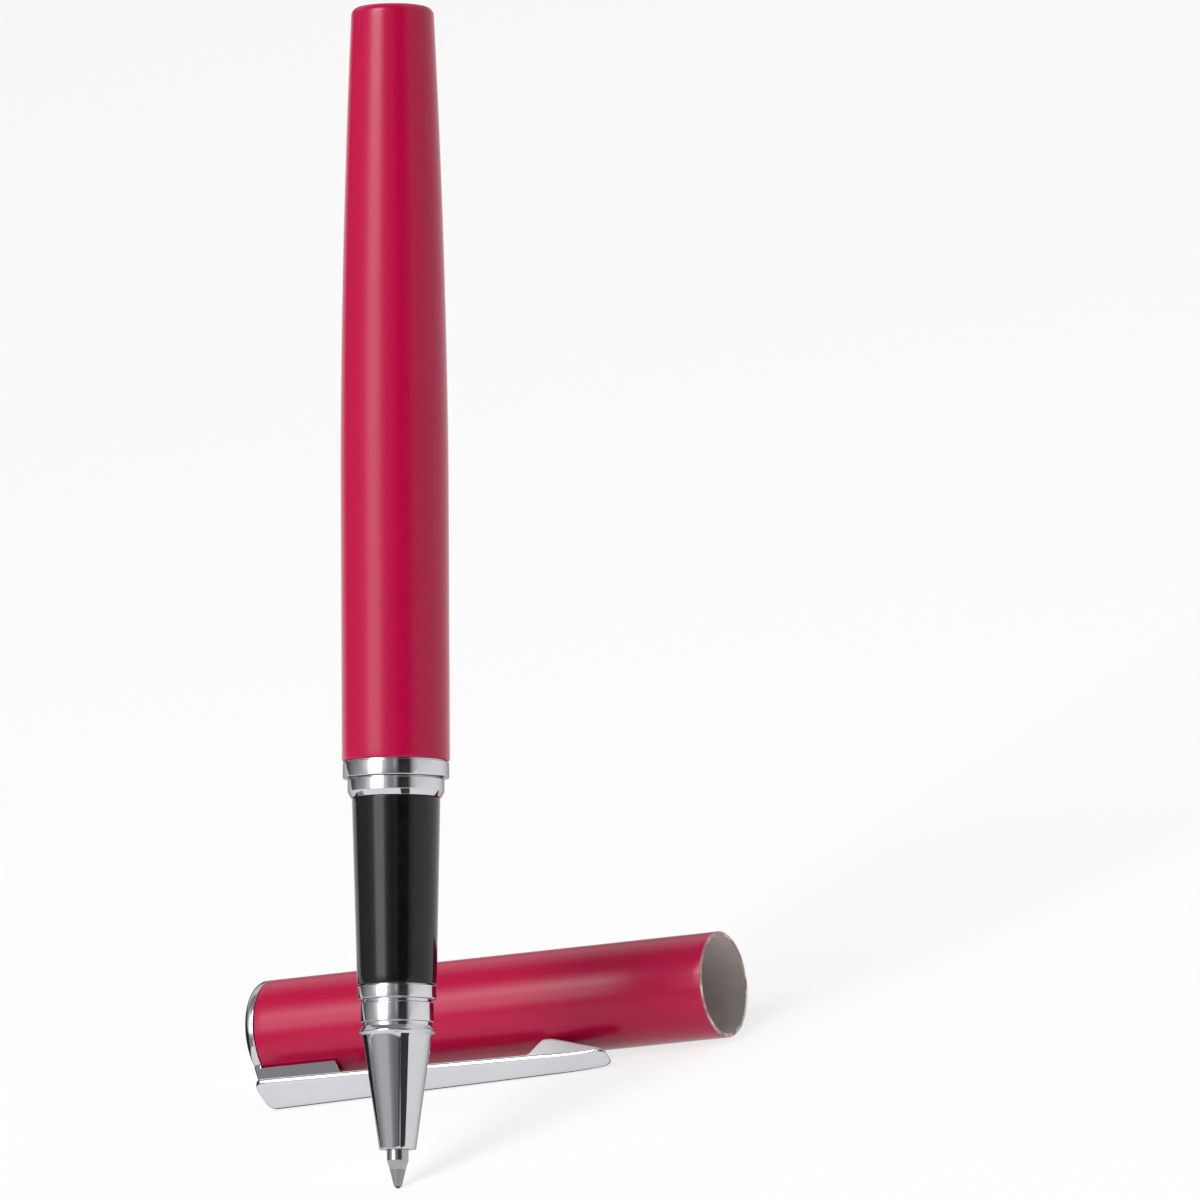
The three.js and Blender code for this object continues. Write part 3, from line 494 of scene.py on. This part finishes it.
grip_taper = [(4.30, 22.75), (4.42, 27.75), (4.54, 32.75), (4.66, 37.75), (4.74, 41.3)]
grip = lathe("grip_shell", rounded([
    (NOSE_SOCKET, GRIP_FRONT), (4.27, GRIP_FRONT, 0.12), *grip_taper, (4.75, GRIP_REAR, 0.12),
    (SLEEVE_BORE, GRIP_REAR), (SLEEVE_BORE, SLEEVE_SEAT), (GRIP_BORE, SLEEVE_SEAT),
    (GRIP_BORE, SOCKET_END), (NOSE_SOCKET, SOCKET_END),
]), PEN, [GRIP_BLACK], loop=True)
ready(grip, "section", "black_lacquer", "grip_section")

NOSE_FRONT = 4.15
NOSE_REAR = 21.65
NOSE_RADIUS = 4.22
CONE_END = 16.4
GROOVE_RADIUS = 3.72
RING_RADIUS = 3.92
SPIGOT_RADIUS = 3.66
SPIGOT_END = 27.25
NOSE_BORE = 3.2
TIP_HOLE = 1.37
TIP_HOLE_END = 6.25

cone = [(1.97, NOSE_FRONT, 0.1), (2.012, 4.45), (2.28, 6.35), (3.14, 12.35), (3.65, 15.93)]
flare = [(3.74, 16.43, 0.1), (4.11, 16.69, 0.04), (4.09, 16.81, 0.04), (3.86, 17.09, 0.3)]
rings_and_grooves = [
    (GROOVE_RADIUS, 17.35, 0.05), (GROOVE_RADIUS, 17.75, 0.04), (RING_RADIUS, 17.81, 0.06),
    (RING_RADIUS, 19.8, 0.06), (GROOVE_RADIUS, 19.87, 0.04), (GROOVE_RADIUS, 20.21, 0.04),
    (NOSE_RADIUS, 20.25, 0.1), (NOSE_RADIUS, NOSE_REAR, 0.1),
]
spigot = [(SPIGOT_RADIUS, NOSE_REAR), (SPIGOT_RADIUS, SPIGOT_END)]
nose_inside = [
    (NOSE_BORE, SPIGOT_END), (NOSE_BORE, 16.15), (3.09, 15.65), (1.77, TIP_HOLE_END),
    (TIP_HOLE, TIP_HOLE_END),
]
# Below CONE_END the nose takes the darker chrome, which is painted shade.
nose = lathe("nose_shell", rounded([
    (TIP_HOLE, NOSE_FRONT, 0.05), *cone, *flare, *rings_and_grooves, *spigot, *nose_inside,
]), PEN, [PEN_CHROME, CONE_CHROME_PAINTED_SHADE], slot_at=lambda radius, height: int(height < CONE_END), loop=True)
ready(nose, "section", "chrome_trim", "nose_cone")

# Refill tip and ball

TIP_FRONT = 0.22
TIP_SHOULDER = 2.07
TIP_REAR = 8.6
TIP_RADIUS = 1.17
INK_BORE = 0.22
BALL_SEAT = 0.41
BALL_RADIUS = 0.35
BALL_STEPS = 24

tip = lathe("tip_shell", rounded([
    (0.36, TIP_FRONT), (0.42, TIP_FRONT, 0.02), (0.52, 0.6), (0.87, 2.05, 0.05),
    (TIP_RADIUS, 3.0, 0.06), (TIP_RADIUS, TIP_REAR), (INK_BORE, TIP_REAR), (INK_BORE, 0.9),
    (BALL_SEAT, 2 * BALL_RADIUS), (BALL_SEAT, BALL_RADIUS),
]), PEN, [TIP_STEEL, TIP_MATTE], slot_at=lambda radius, height: int(height < TIP_SHOULDER), loop=True)
ready(tip, "refill", "tip_steel", "refill_tip")

ball_angles = [math.pi * i / BALL_STEPS for i in range(BALL_STEPS + 1)]
ball = lathe("ball", [
    (BALL_RADIUS * math.sin(angle), BALL_RADIUS - BALL_RADIUS * math.cos(angle)) for angle in ball_angles
], PEN, [BALL_STEEL], sides=48)
ready(ball, "ball", "ball_steel", "writing_ball")

# Refill tube, end plug and spring

REFILL_RADIUS = 3.05
TUBE_BORE = 2.75
TUBE_FRONT = 18.2
TUBE_REAR = 105.97

tube = lathe("tube_shell", rounded([
    (REFILL_RADIUS, TUBE_FRONT, 0.08), (REFILL_RADIUS, TUBE_REAR, 0.08), (TUBE_BORE, TUBE_REAR),
    (TUBE_BORE, TUBE_FRONT),
]), PEN, [REFILL_STEEL], loop=True)
ready(tube, "refill", "refill_steel", "refill_tube")

PLUG_FRONT = 103.27
PLUG_SHANK = 2.65
PLUG_RIM = 106.07
PLUG_REAR = 110.27

plug = lathe("plug_shell", rounded([
    (0, PLUG_FRONT), (PLUG_SHANK, PLUG_FRONT), (PLUG_SHANK, PLUG_RIM), (REFILL_RADIUS, PLUG_RIM, 0.06),
    (REFILL_RADIUS, PLUG_REAR, 0.5), (0, PLUG_REAR),
]), PEN, [BLACK_PLASTIC])
ready(plug, "refill", "black_plastic", "refill_plug")

SPRING_FRONT = 110.41
SPRING_REAR = 119.73
SPRING_COIL = 2.35
SPRING_WIRE = 0.3
SPRING_TURNS = 6
SPRING_END_PITCH = 0.69
SPRING_STEPS = 144
WIRE_SIDES = 10


def spring_ring(share):
    """One section of the wire. The first and the last turn lie close, as on a ground spring."""
    travel = SPRING_REAR - SPRING_FRONT - 2 * SPRING_WIRE
    end_turn = 1 / SPRING_TURNS
    end_rise = SPRING_END_PITCH / travel
    if share < end_turn:
        rise = share / end_turn * end_rise
    elif share > 1 - end_turn:
        rise = 1 - (1 - share) / end_turn * end_rise
    else:
        rise = end_rise + (share - end_turn) / (1 - 2 * end_turn) * (1 - 2 * end_rise)
    turn = 2 * math.pi * SPRING_TURNS * share
    middle = SPRING_FRONT + SPRING_WIRE + travel * rise
    ring = []
    for i in range(WIRE_SIDES):
        around = 2 * math.pi * i / WIRE_SIDES
        radius = SPRING_COIL + SPRING_WIRE * math.cos(around)
        height = middle + SPRING_WIRE * math.sin(around)
        ring.append((radius * math.cos(turn), radius * math.sin(turn), height))
    return ring


spring_rings = [spring_ring(i / SPRING_STEPS) for i in range(SPRING_STEPS + 1)]
spring = loft("spring_wire", spring_rings, PEN, [REFILL_STEEL], slot_of=lambda i: 0)
ready(spring, "spring", "refill_steel", "refill_spring")
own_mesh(spring)

# Cap

CAP_LENGTH = 55
CAP_RADIUS = 5.8
CAP_TAPER = 0.03
CAP_END_RADIUS = CAP_RADIUS - CAP_TAPER
LIP_DEPTH = 0.12


def cap_radius(height):
    """The cap narrows a little towards its closed end."""
    return CAP_RADIUS - CAP_TAPER * height / CAP_LENGTH


cap_outer = [(cap_radius(height), height) for height in (1, 4, 10, 18, 26, 34, 42, 50, 54)]
cap_profile = rounded([
    (5.35, 0, 0.08), (CAP_RADIUS, 0, 0.13), *cap_outer, (CAP_END_RADIUS, CAP_LENGTH, 0.05),
    (5.32, CAP_LENGTH), (5.33, 20), (5.345, 3),
])


def cap_slot(radius, height):
    """Lacquer outside and on the rear edge, bare inside, and the worn lip at the mouth."""
    if height < LIP_DEPTH and radius < CAP_RADIUS - 0.01:
        return 2
    return int(radius < cap_radius(height) - 0.2 and height < CAP_LENGTH - 0.01)


cap_shell = lathe("cap_shell", cap_profile, CAP, [CAP_LACQUER, CAP_BARE, CAP_LIP], cap_slot, loop=True)
ready(cap_shell, "cap", "crimson_lacquer", "cap_tube")

CROWN_SEAT = 55.12
CROWN_SPIGOT = 5.22
CROWN_SPIGOT_FRONT = 51.92
CROWN_STEM = 2.4
CROWN_STEM_FRONT = 49.62
SCREW_HOLE = 0.9
SCREW_HOLE_END = 53.52

crown_disc = lathe("cap_end", rounded([
    (SCREW_HOLE, CROWN_STEM_FRONT), (CROWN_STEM, CROWN_STEM_FRONT), (CROWN_STEM, CROWN_SPIGOT_FRONT),
    (CROWN_SPIGOT, CROWN_SPIGOT_FRONT), (CROWN_SPIGOT, CROWN_SEAT),
    (CAP_END_RADIUS, CROWN_SEAT, 0.06), (CAP_END_RADIUS, CROWN_FACE, 0.85), (0, CROWN_FACE),
    (0, SCREW_HOLE_END), (SCREW_HOLE, SCREW_HOLE_END),
], 8), CAP, [CAP_CHROME], loop=True)
ready(crown_disc, "cap", "chrome_trim", "cap_crown")

# Clip and its block

CLIP_ROOT = 54.8
CLIP_CURL = 19.0
CLIP_TIP = 12.3
CLIP_FACE = 9.15
CLIP_SLOPE = 0.12
CURL_DROP = 0.45
CLIP_THICKNESS = 0.75
TIP_THINNING = 0.4
ROOT_HALF_WIDTH = 2.475
CLIP_NARROWING = 0.925
TIP_HALF_WIDTH = 0.7
TIP_ROUNDING = 1.1
CORNER = 0.9
FOOT_START = 21.6
FOOT_REAR = 19.9
FOOT_FRONT = 19.2
FOOT_CLEARANCE = 0.1
FOOT_CURVE = 1.1
UPPER_EDGE = 0.8
LOWER_EDGE = 0.55
SIDE_FLOOR = 0.15
SIDE_REACH = 0.72
CREST_INSET = 0.15
CREST_NARROWING = 0.55
EDGE_STEPS = 7
CREST_STEPS = 5


def clip_height(z):
    """The outer face's distance from the cap's axis: it sinks a little and curls in at the tip."""
    share = (CLIP_ROOT - z) / (CLIP_ROOT - CLIP_CURL)
    curl = max(0.0, (CLIP_CURL - z) / (CLIP_CURL - CLIP_TIP))
    return CLIP_FACE - CLIP_SLOPE * share - CURL_DROP * curl ** 2


def clip_half_width(z):
    """Half the clip's width: it narrows evenly, with round corners at its root and a round tip."""
    half = ROOT_HALF_WIDTH - CLIP_NARROWING * (CLIP_ROOT - z) / (CLIP_ROOT - CLIP_CURL)
    end = max(0.0, 1 - (z - CLIP_TIP) / TIP_ROUNDING)
    corner = max(0.0, 1 - (CLIP_ROOT - z) / CORNER)
    rounded_half = TIP_HALF_WIDTH + (half - TIP_HALF_WIDTH) * math.sqrt(1 - end ** 2)
    return rounded_half - CORNER * (1 - math.sqrt(1 - corner ** 2))


def foot_share(z):
    """How far the crest reaches down to the cap: 1 on the foot's sole, 0 on the leaf and at the tip."""
    if z >= FOOT_START:
        return 0.0
    if z >= FOOT_REAR:
        t = (FOOT_START - z) / (FOOT_START - FOOT_REAR)
        return t * t * (3 - 2 * t)
    if z >= FOOT_FRONT:
        return 1.0
    return 1 - ((FOOT_FRONT - z) / (FOOT_FRONT - CLIP_TIP)) ** FOOT_CURVE


def clip_ring(z):
    """One section of the clip: flat outer face, rounded edges, sides and the crowned crest."""
    outer = clip_height(z)
    half = clip_half_width(z)
    tip_share = max(0.0, (FOOT_FRONT - z) / (FOOT_FRONT - CLIP_TIP))
    thickness = CLIP_THICKNESS - TIP_THINNING * tip_share
    foot = foot_share(z)
    under = outer - thickness
    crest = under + (cap_radius(z) + FOOT_CLEARANCE - under) * foot
    side_end = under + SIDE_FLOOR * thickness + (crest - under) * SIDE_REACH
    crest_half = (half - CREST_INSET) * (1 - CREST_NARROWING * foot)

    def side(edge):
        """Half of the section, from the outer face round the edge and down to the crest."""
        points = []
        for i in range(EDGE_STEPS + 1):
            angle = math.pi / 2 * i / EDGE_STEPS
            points.append((outer - edge + edge * math.cos(angle), half - edge + edge * math.sin(angle)))
        for i in range(CREST_STEPS + 1):
            angle = math.pi / 2 * i / CREST_STEPS
            points.append((
                side_end + (crest - side_end) * math.sin(angle),
                crest_half + (half - crest_half) * math.cos(angle),
            ))
        return points

    upper = side(UPPER_EDGE * thickness)
    lower = [(x, -y) for x, y in reversed(side(LOWER_EDGE * thickness))]
    return [(x, y, z) for x, y in upper + lower]


def spaced(start, end, steps):
    """Even steps from the start, without the end."""
    return [start + (end - start) * i / steps for i in range(steps)]


corner_end = CLIP_ROOT - CORNER
stations = [corner_end + CORNER * math.cos(math.pi / 2 * i / 8) for i in range(8)]
stations += spaced(corner_end, FOOT_START, 16) + spaced(FOOT_START, FOOT_REAR, 10)
stations += spaced(FOOT_REAR, FOOT_FRONT, 2) + spaced(FOOT_FRONT, CLIP_TIP + TIP_ROUNDING, 16)
stations += [CLIP_TIP + TIP_ROUNDING * (1 - math.sin(math.pi / 2 * i / 10)) for i in range(11)]
clip_rings = [clip_ring(z) for z in stations]
last = len(clip_rings[0]) - 1


def clip_slot(i):
    """Bright face and upper edge, a near-black lower edge that is painted shade, and satin sides and
    crest whose whitish diffuse part is painted sheen.
    """
    if i == last or i < EDGE_STEPS:
        return 0
    return 1 if i >= last - EDGE_STEPS else 2


clip = loft("clip_leaf", clip_rings, CAP, [CLIP_CHROME, CLIP_EDGE_PAINTED_SHADE, CLIP_SATIN_PAINTED_SHEEN], clip_slot, sharp=38)
ready(clip, "clip_leaf", "chrome_clip", "clip")

BLOCK_FOOT = 5.87
BLOCK_KEY = 4.92
BLOCK_FRONT_AT_CAP = 45.9
BLOCK_FRONT_AT_CLIP = 44.4
BLOCK_END = 55.995
BLOCK_GAP = 0.12
BLOCK_HALF_WIDTH = 1.3
BLOCK_NARROWING = 0.3
BLOCK_EDGE = 0.12


def block_outer(z):
    """The block's outer face, which follows the clip with a narrow gap."""
    return clip_height(z) - CLIP_THICKNESS - BLOCK_GAP


def clip_block():
    """The block between the cap's end and the clip, a little wider at the cap, with soft edges."""
    outline = [
        (BLOCK_FOOT, BLOCK_FRONT_AT_CAP), (block_outer(BLOCK_FRONT_AT_CLIP), BLOCK_FRONT_AT_CLIP),
        (block_outer(CLIP_ROOT), CLIP_ROOT), (BLOCK_FOOT, BLOCK_END), (BLOCK_KEY, BLOCK_END),
        (BLOCK_KEY, CROWN_SEAT), (BLOCK_FOOT, CROWN_SEAT),
    ]

    def half_at(x):
        """Half the block's width, which gets less towards the clip."""
        share = (x - BLOCK_FOOT) / (block_outer(CLIP_ROOT) - BLOCK_FOOT)
        return BLOCK_HALF_WIDTH - BLOCK_NARROWING * share

    def build(shape):
        rows = [[shape.verts.new((x, side * half_at(x), z)) for x, z in outline] for side in (-1, 1)]
        count = len(outline)
        for i in range(count):
            j = (i + 1) % count
            shape.faces.new((rows[0][i], rows[0][j], rows[1][j], rows[1][i]))
        shape.faces.new(rows[0])
        shape.faces.new(rows[1])

    piece = made("clip_block", build, CAP, [CAP_CHROME])
    soft = piece.modifiers.new("soft_edges", "BEVEL")
    soft.width = BLOCK_EDGE * MM
    soft.segments = 3
    # The bevel comes before the weighted normals.
    piece.modifiers.move(1, 0)
    return piece


ready(clip_block(), "cap", "chrome_trim")

# CAD nodes that stay

for node, material in {
    "refill_holder": BLACK_PLASTIC,
    "ink_feed": FIBRE,
    "ink_reservoir": FIBRE,
    "section_sleeve": BRASS,
    "barrel_bush": BRASS,
    "spring_seat": BLACK_PLASTIC,
    "cap_liner": LINER_PLASTIC,
    "crown_screw": SCREW_STEEL,
}.items():
    mesh = frame["nodes"][node].data
    mesh.materials.clear()
    mesh.materials.append(material)

# Floor

FLOOR_REACH = 6
FLOOR_WALL = 0.4
FLOOR_LIFT = 0.76


def floor_white():
    """A pale matt floor. What the camera, metal and glass see of it is lifted towards white; the
    light that it gives back to the pieces is not."""
    material, tree, shader = principled("floor_white", (0.95, 0.95, 0.95), 0.85)
    shader.inputs["Specular IOR Level"].default_value = 0.1
    rays = tree.nodes.new("ShaderNodeLightPath")
    seen = rays.outputs["Is Camera Ray"]
    for ray in ("Is Glossy Ray", "Is Transmission Ray"):
        either = tree.nodes.new("ShaderNodeMath")
        either.operation = "MAXIMUM"
        tree.links.new(seen, either.inputs[0])
        tree.links.new(rays.outputs[ray], either.inputs[1])
        seen = either.outputs["Value"]
    lift = tree.nodes.new("ShaderNodeMath")
    lift.operation = "MULTIPLY"
    lift.inputs[1].default_value = FLOOR_LIFT
    tree.links.new(seen, lift.inputs[0])
    white = tree.nodes.new("ShaderNodeEmission")
    white.inputs["Color"].default_value = (1, 1, 1, 1)
    mix = tree.nodes.new("ShaderNodeMixShader")
    tree.links.new(lift.outputs["Value"], mix.inputs["Fac"])
    tree.links.new(shader.outputs["BSDF"], mix.inputs[1])
    tree.links.new(white.outputs["Emission"], mix.inputs[2])
    tree.links.new(mix.outputs["Shader"], tree.nodes["Material Output"].inputs["Surface"])
    return material


def floor_tray():
    """A wide sheet under the pieces, with a low wall along its four edges, in metres."""
    mesh = bpy.data.meshes.new("floor")
    corners = [
        (-FLOOR_REACH, -FLOOR_REACH), (FLOOR_REACH, -FLOOR_REACH),
        (FLOOR_REACH, FLOOR_REACH), (-FLOOR_REACH, FLOOR_REACH),
    ]
    mesh.from_pydata(
        [(x, y, 0) for x, y in corners] + [(x, y, FLOOR_WALL) for x, y in corners], [],
        [(0, 1, 2, 3)] + [(i, (i + 1) % 4, (i + 1) % 4 + 4, i + 4) for i in range(4)],
    )
    mesh.materials.append(floor_white())
    tray = bpy.data.objects.new("floor", mesh)
    bpy.context.scene.collection.objects.link(tray)
    return tray


floor = floor_tray()

# Camera

# Fitted to the rings, the mouth and the outlines: angles in degrees, the point that it looks at in
# millimetres, its distance in metres, and its focal length in pixels of the picture.

AZIMUTH = math.radians(27.378)
ELEVATION = math.radians(12.433)
ROLL = math.radians(-14.688)
LOOK_AT = Vector((13.118, 39.86, 44.453)) * MM
DISTANCE = 1.6
FOCAL_PIXELS = 14556.3
IMAGE_PIXELS = 1200
SENSOR = 36.0
VIEW_END = 30


def bearing(azimuth, elevation):
    """The direction from the object to an azimuth, right of the front, and an elevation."""
    return Vector((
        math.sin(azimuth) * math.cos(elevation),
        -math.cos(azimuth) * math.cos(elevation),
        math.sin(elevation),
    ))


back = bearing(AZIMUTH, ELEVATION)
level_right = Vector((math.cos(AZIMUTH), math.sin(AZIMUTH), 0))
level_up = back.cross(level_right)
right = math.cos(ROLL) * level_right + math.sin(ROLL) * level_up
up = -math.sin(ROLL) * level_right + math.cos(ROLL) * level_up

camera_data = bpy.data.cameras.new("camera")
camera_data.sensor_width = SENSOR
camera_data.sensor_fit = "HORIZONTAL"
camera_data.lens = FOCAL_PIXELS / IMAGE_PIXELS * SENSOR
camera_data.clip_end = VIEW_END
camera = bpy.data.objects.new("camera", camera_data)
camera.matrix_world = Matrix.Translation(LOOK_AT + back * DISTANCE) @ Matrix(
    (right, up, back)
).transposed().to_4x4()
bpy.context.scene.collection.objects.link(camera)
bpy.context.scene.camera = camera

# Studio light

# The studio's brightness round the pen, as (degrees right of the camera's side, brightness): near
# the floor and higher up. Height here is the upward part of a direction, from 0 to 1.

LOW_BANDS = [
    (-180, 0.3), (-150, 0.1), (-125, 0.12), (-95, 0.4), (-70, 0.62), (-36, 0.62), (-25, 0.36),
    (-10, 0.22), (0, 0.22), (8, 0.05), (30, 0.05), (40, 0.6), (52, 0.88), (120, 0.88),
    (150, 0.5), (180, 0.3),
]
HIGH_BANDS = [
    (-180, 0.9), (-125, 0.85), (-108, 0.3), (-101, 0.22), (-80, 0.55), (-64, 1.1), (-57, 3.8),
    (-36, 3.8), (-28, 0.9), (-16, 0.36), (-5, 0.3), (-2, 0.6), (1, 0.3), (8, 0.03), (30, 0.04),
    (40, 0.25), (49, 0.8), (72, 0.88), (180, 0.9),
]
LOW_END, HIGH_START = 0.26, 0.42
HIGH_END, TOP_START = 0.76, 0.9
TOP_SHADE = (0.28, 0.28, 0.285, 1)
BLUE_TINT = 1.015
STUDIO_STRENGTH = 0.95


def studio_world():
    """A white studio whose brightness changes in soft bands round the pen and with height."""
    world = bpy.data.worlds.new("studio")
    bpy.context.scene.world = world
    world.use_nodes = True
    tree = world.node_tree
    tree.nodes.clear()
    output = tree.nodes.new("ShaderNodeOutputWorld")
    coords = tree.nodes.new("ShaderNodeTexCoord")

    def along(axis):
        """How far the direction looked at points along an axis, from -1 to 1."""
        dot = tree.nodes.new("ShaderNodeVectorMath")
        dot.operation = "DOT_PRODUCT"
        dot.inputs[1].default_value = axis
        tree.links.new(coords.outputs["Generated"], dot.inputs[0])
        return dot.outputs["Value"]

    def math_node(operation, *values):
        """A sum fed by plain numbers or by the values of other nodes."""
        node = tree.nodes.new("ShaderNodeMath")
        node.operation = operation
        for socket, value in zip(node.inputs, values):
            if isinstance(value, (int, float)):
                socket.default_value = value
            else:
                tree.links.new(value, socket)
        return node.outputs["Value"]

    towards = (back - pen_axis * back.dot(pen_axis)).normalized()
    across = pen_axis.cross(towards)
    if across.dot(right) < 0:
        across = -across
    angle = math_node("ARCTAN2", along(across), along(towards))
    turn = math_node("ADD", math_node("DIVIDE", angle, 2 * math.pi), 0.5)

    def pattern(bands):
        """The bands as a ramp that runs once round the pen."""
        return ramp(tree, turn, [
            ((degrees + 180) / 360, (level, level, level * BLUE_TINT)) for degrees, level in bands
        ])

    def mixed(share, low, high):
        """Goes from low to high, which may be a plain colour, as the share goes from 0 to 1."""
        mix = tree.nodes.new("ShaderNodeMix")
        mix.data_type = "RGBA"
        tree.links.new(share, mix.inputs["Factor"])
        tree.links.new(low, mix.inputs["A"])
        if isinstance(high, tuple):
            mix.inputs["B"].default_value = high
        else:
            tree.links.new(high, mix.inputs["B"])
        return mix.outputs["Result"]

    height = along(Vector((0, 0, 1)))
    low, high = pattern(LOW_BANDS), pattern(HIGH_BANDS)
    walls = mixed(ranged(tree, height, 0.0, 1.0, LOW_END, HIGH_START), low, high)
    studio = mixed(ranged(tree, height, 0.0, 1.0, HIGH_END, TOP_START), walls, TOP_SHADE)
    light = tree.nodes.new("ShaderNodeBackground")
    light.inputs["Strength"].default_value = STUDIO_STRENGTH
    tree.links.new(studio, light.inputs["Color"])
    tree.links.new(light.outputs["Background"], output.inputs["Surface"])


studio_world()

LAMP_TARGET = Vector((0, 0, 0.04))


def softbox(name, azimuth, elevation, distance, size, watts):
    """A soft square lamp that faces the object, with its angles in degrees and sizes in metres."""
    data = bpy.data.lights.new(name, "AREA")
    data.size = size
    data.energy = watts
    lamp = bpy.data.objects.new(name, data)
    direction = bearing(math.radians(azimuth), math.radians(elevation))
    lamp.location = LAMP_TARGET + direction * distance
    lamp.rotation_euler = direction.to_track_quat("Z", "Y").to_euler()
    bpy.context.scene.collection.objects.link(lamp)


softbox("key", azimuth=-18, elevation=55, distance=1.1, size=0.5, watts=6.3)

CARD_HEIGHT = 18


def card(name, shade, azimuth, distance, width):
    """An upright card on the floor, in millimetres from the pen's tip, that only reflections show.
    The cards give the chrome its dark lines."""
    angle = math.radians(azimuth)
    outward = bearing(angle, 0) * MM
    sideways = Vector((math.cos(angle), math.sin(angle), 0)) * MM
    contact = Vector(joints["ball_roll"]["pos_m"])
    foot = Vector((contact.x, contact.y, 0)) + outward * distance
    start, end = foot - sideways * width / 2, foot + sideways * width / 2
    rise = Vector((0, 0, CARD_HEIGHT * MM))
    mesh = bpy.data.meshes.new(name)
    mesh.from_pydata([start, end, end + rise, start + rise], [], [(0, 1, 2, 3)])
    mesh.materials.append(principled(name, (shade, shade, shade), 1.0)[0])
    panel = bpy.data.objects.new(name, mesh)
    panel.visible_camera = False
    panel.visible_diffuse = False
    panel.visible_transmission = False
    panel.visible_shadow = False
    bpy.context.scene.collection.objects.link(panel)


card("card_left", shade=0.03, azimuth=-114, distance=60, width=41)
card("card_left_front", shade=0.4, azimuth=-84, distance=60, width=22)
card("card_right", shade=0.06, azimuth=57.5, distance=34, width=17)

bpy.context.scene.view_settings.view_transform = "Standard"
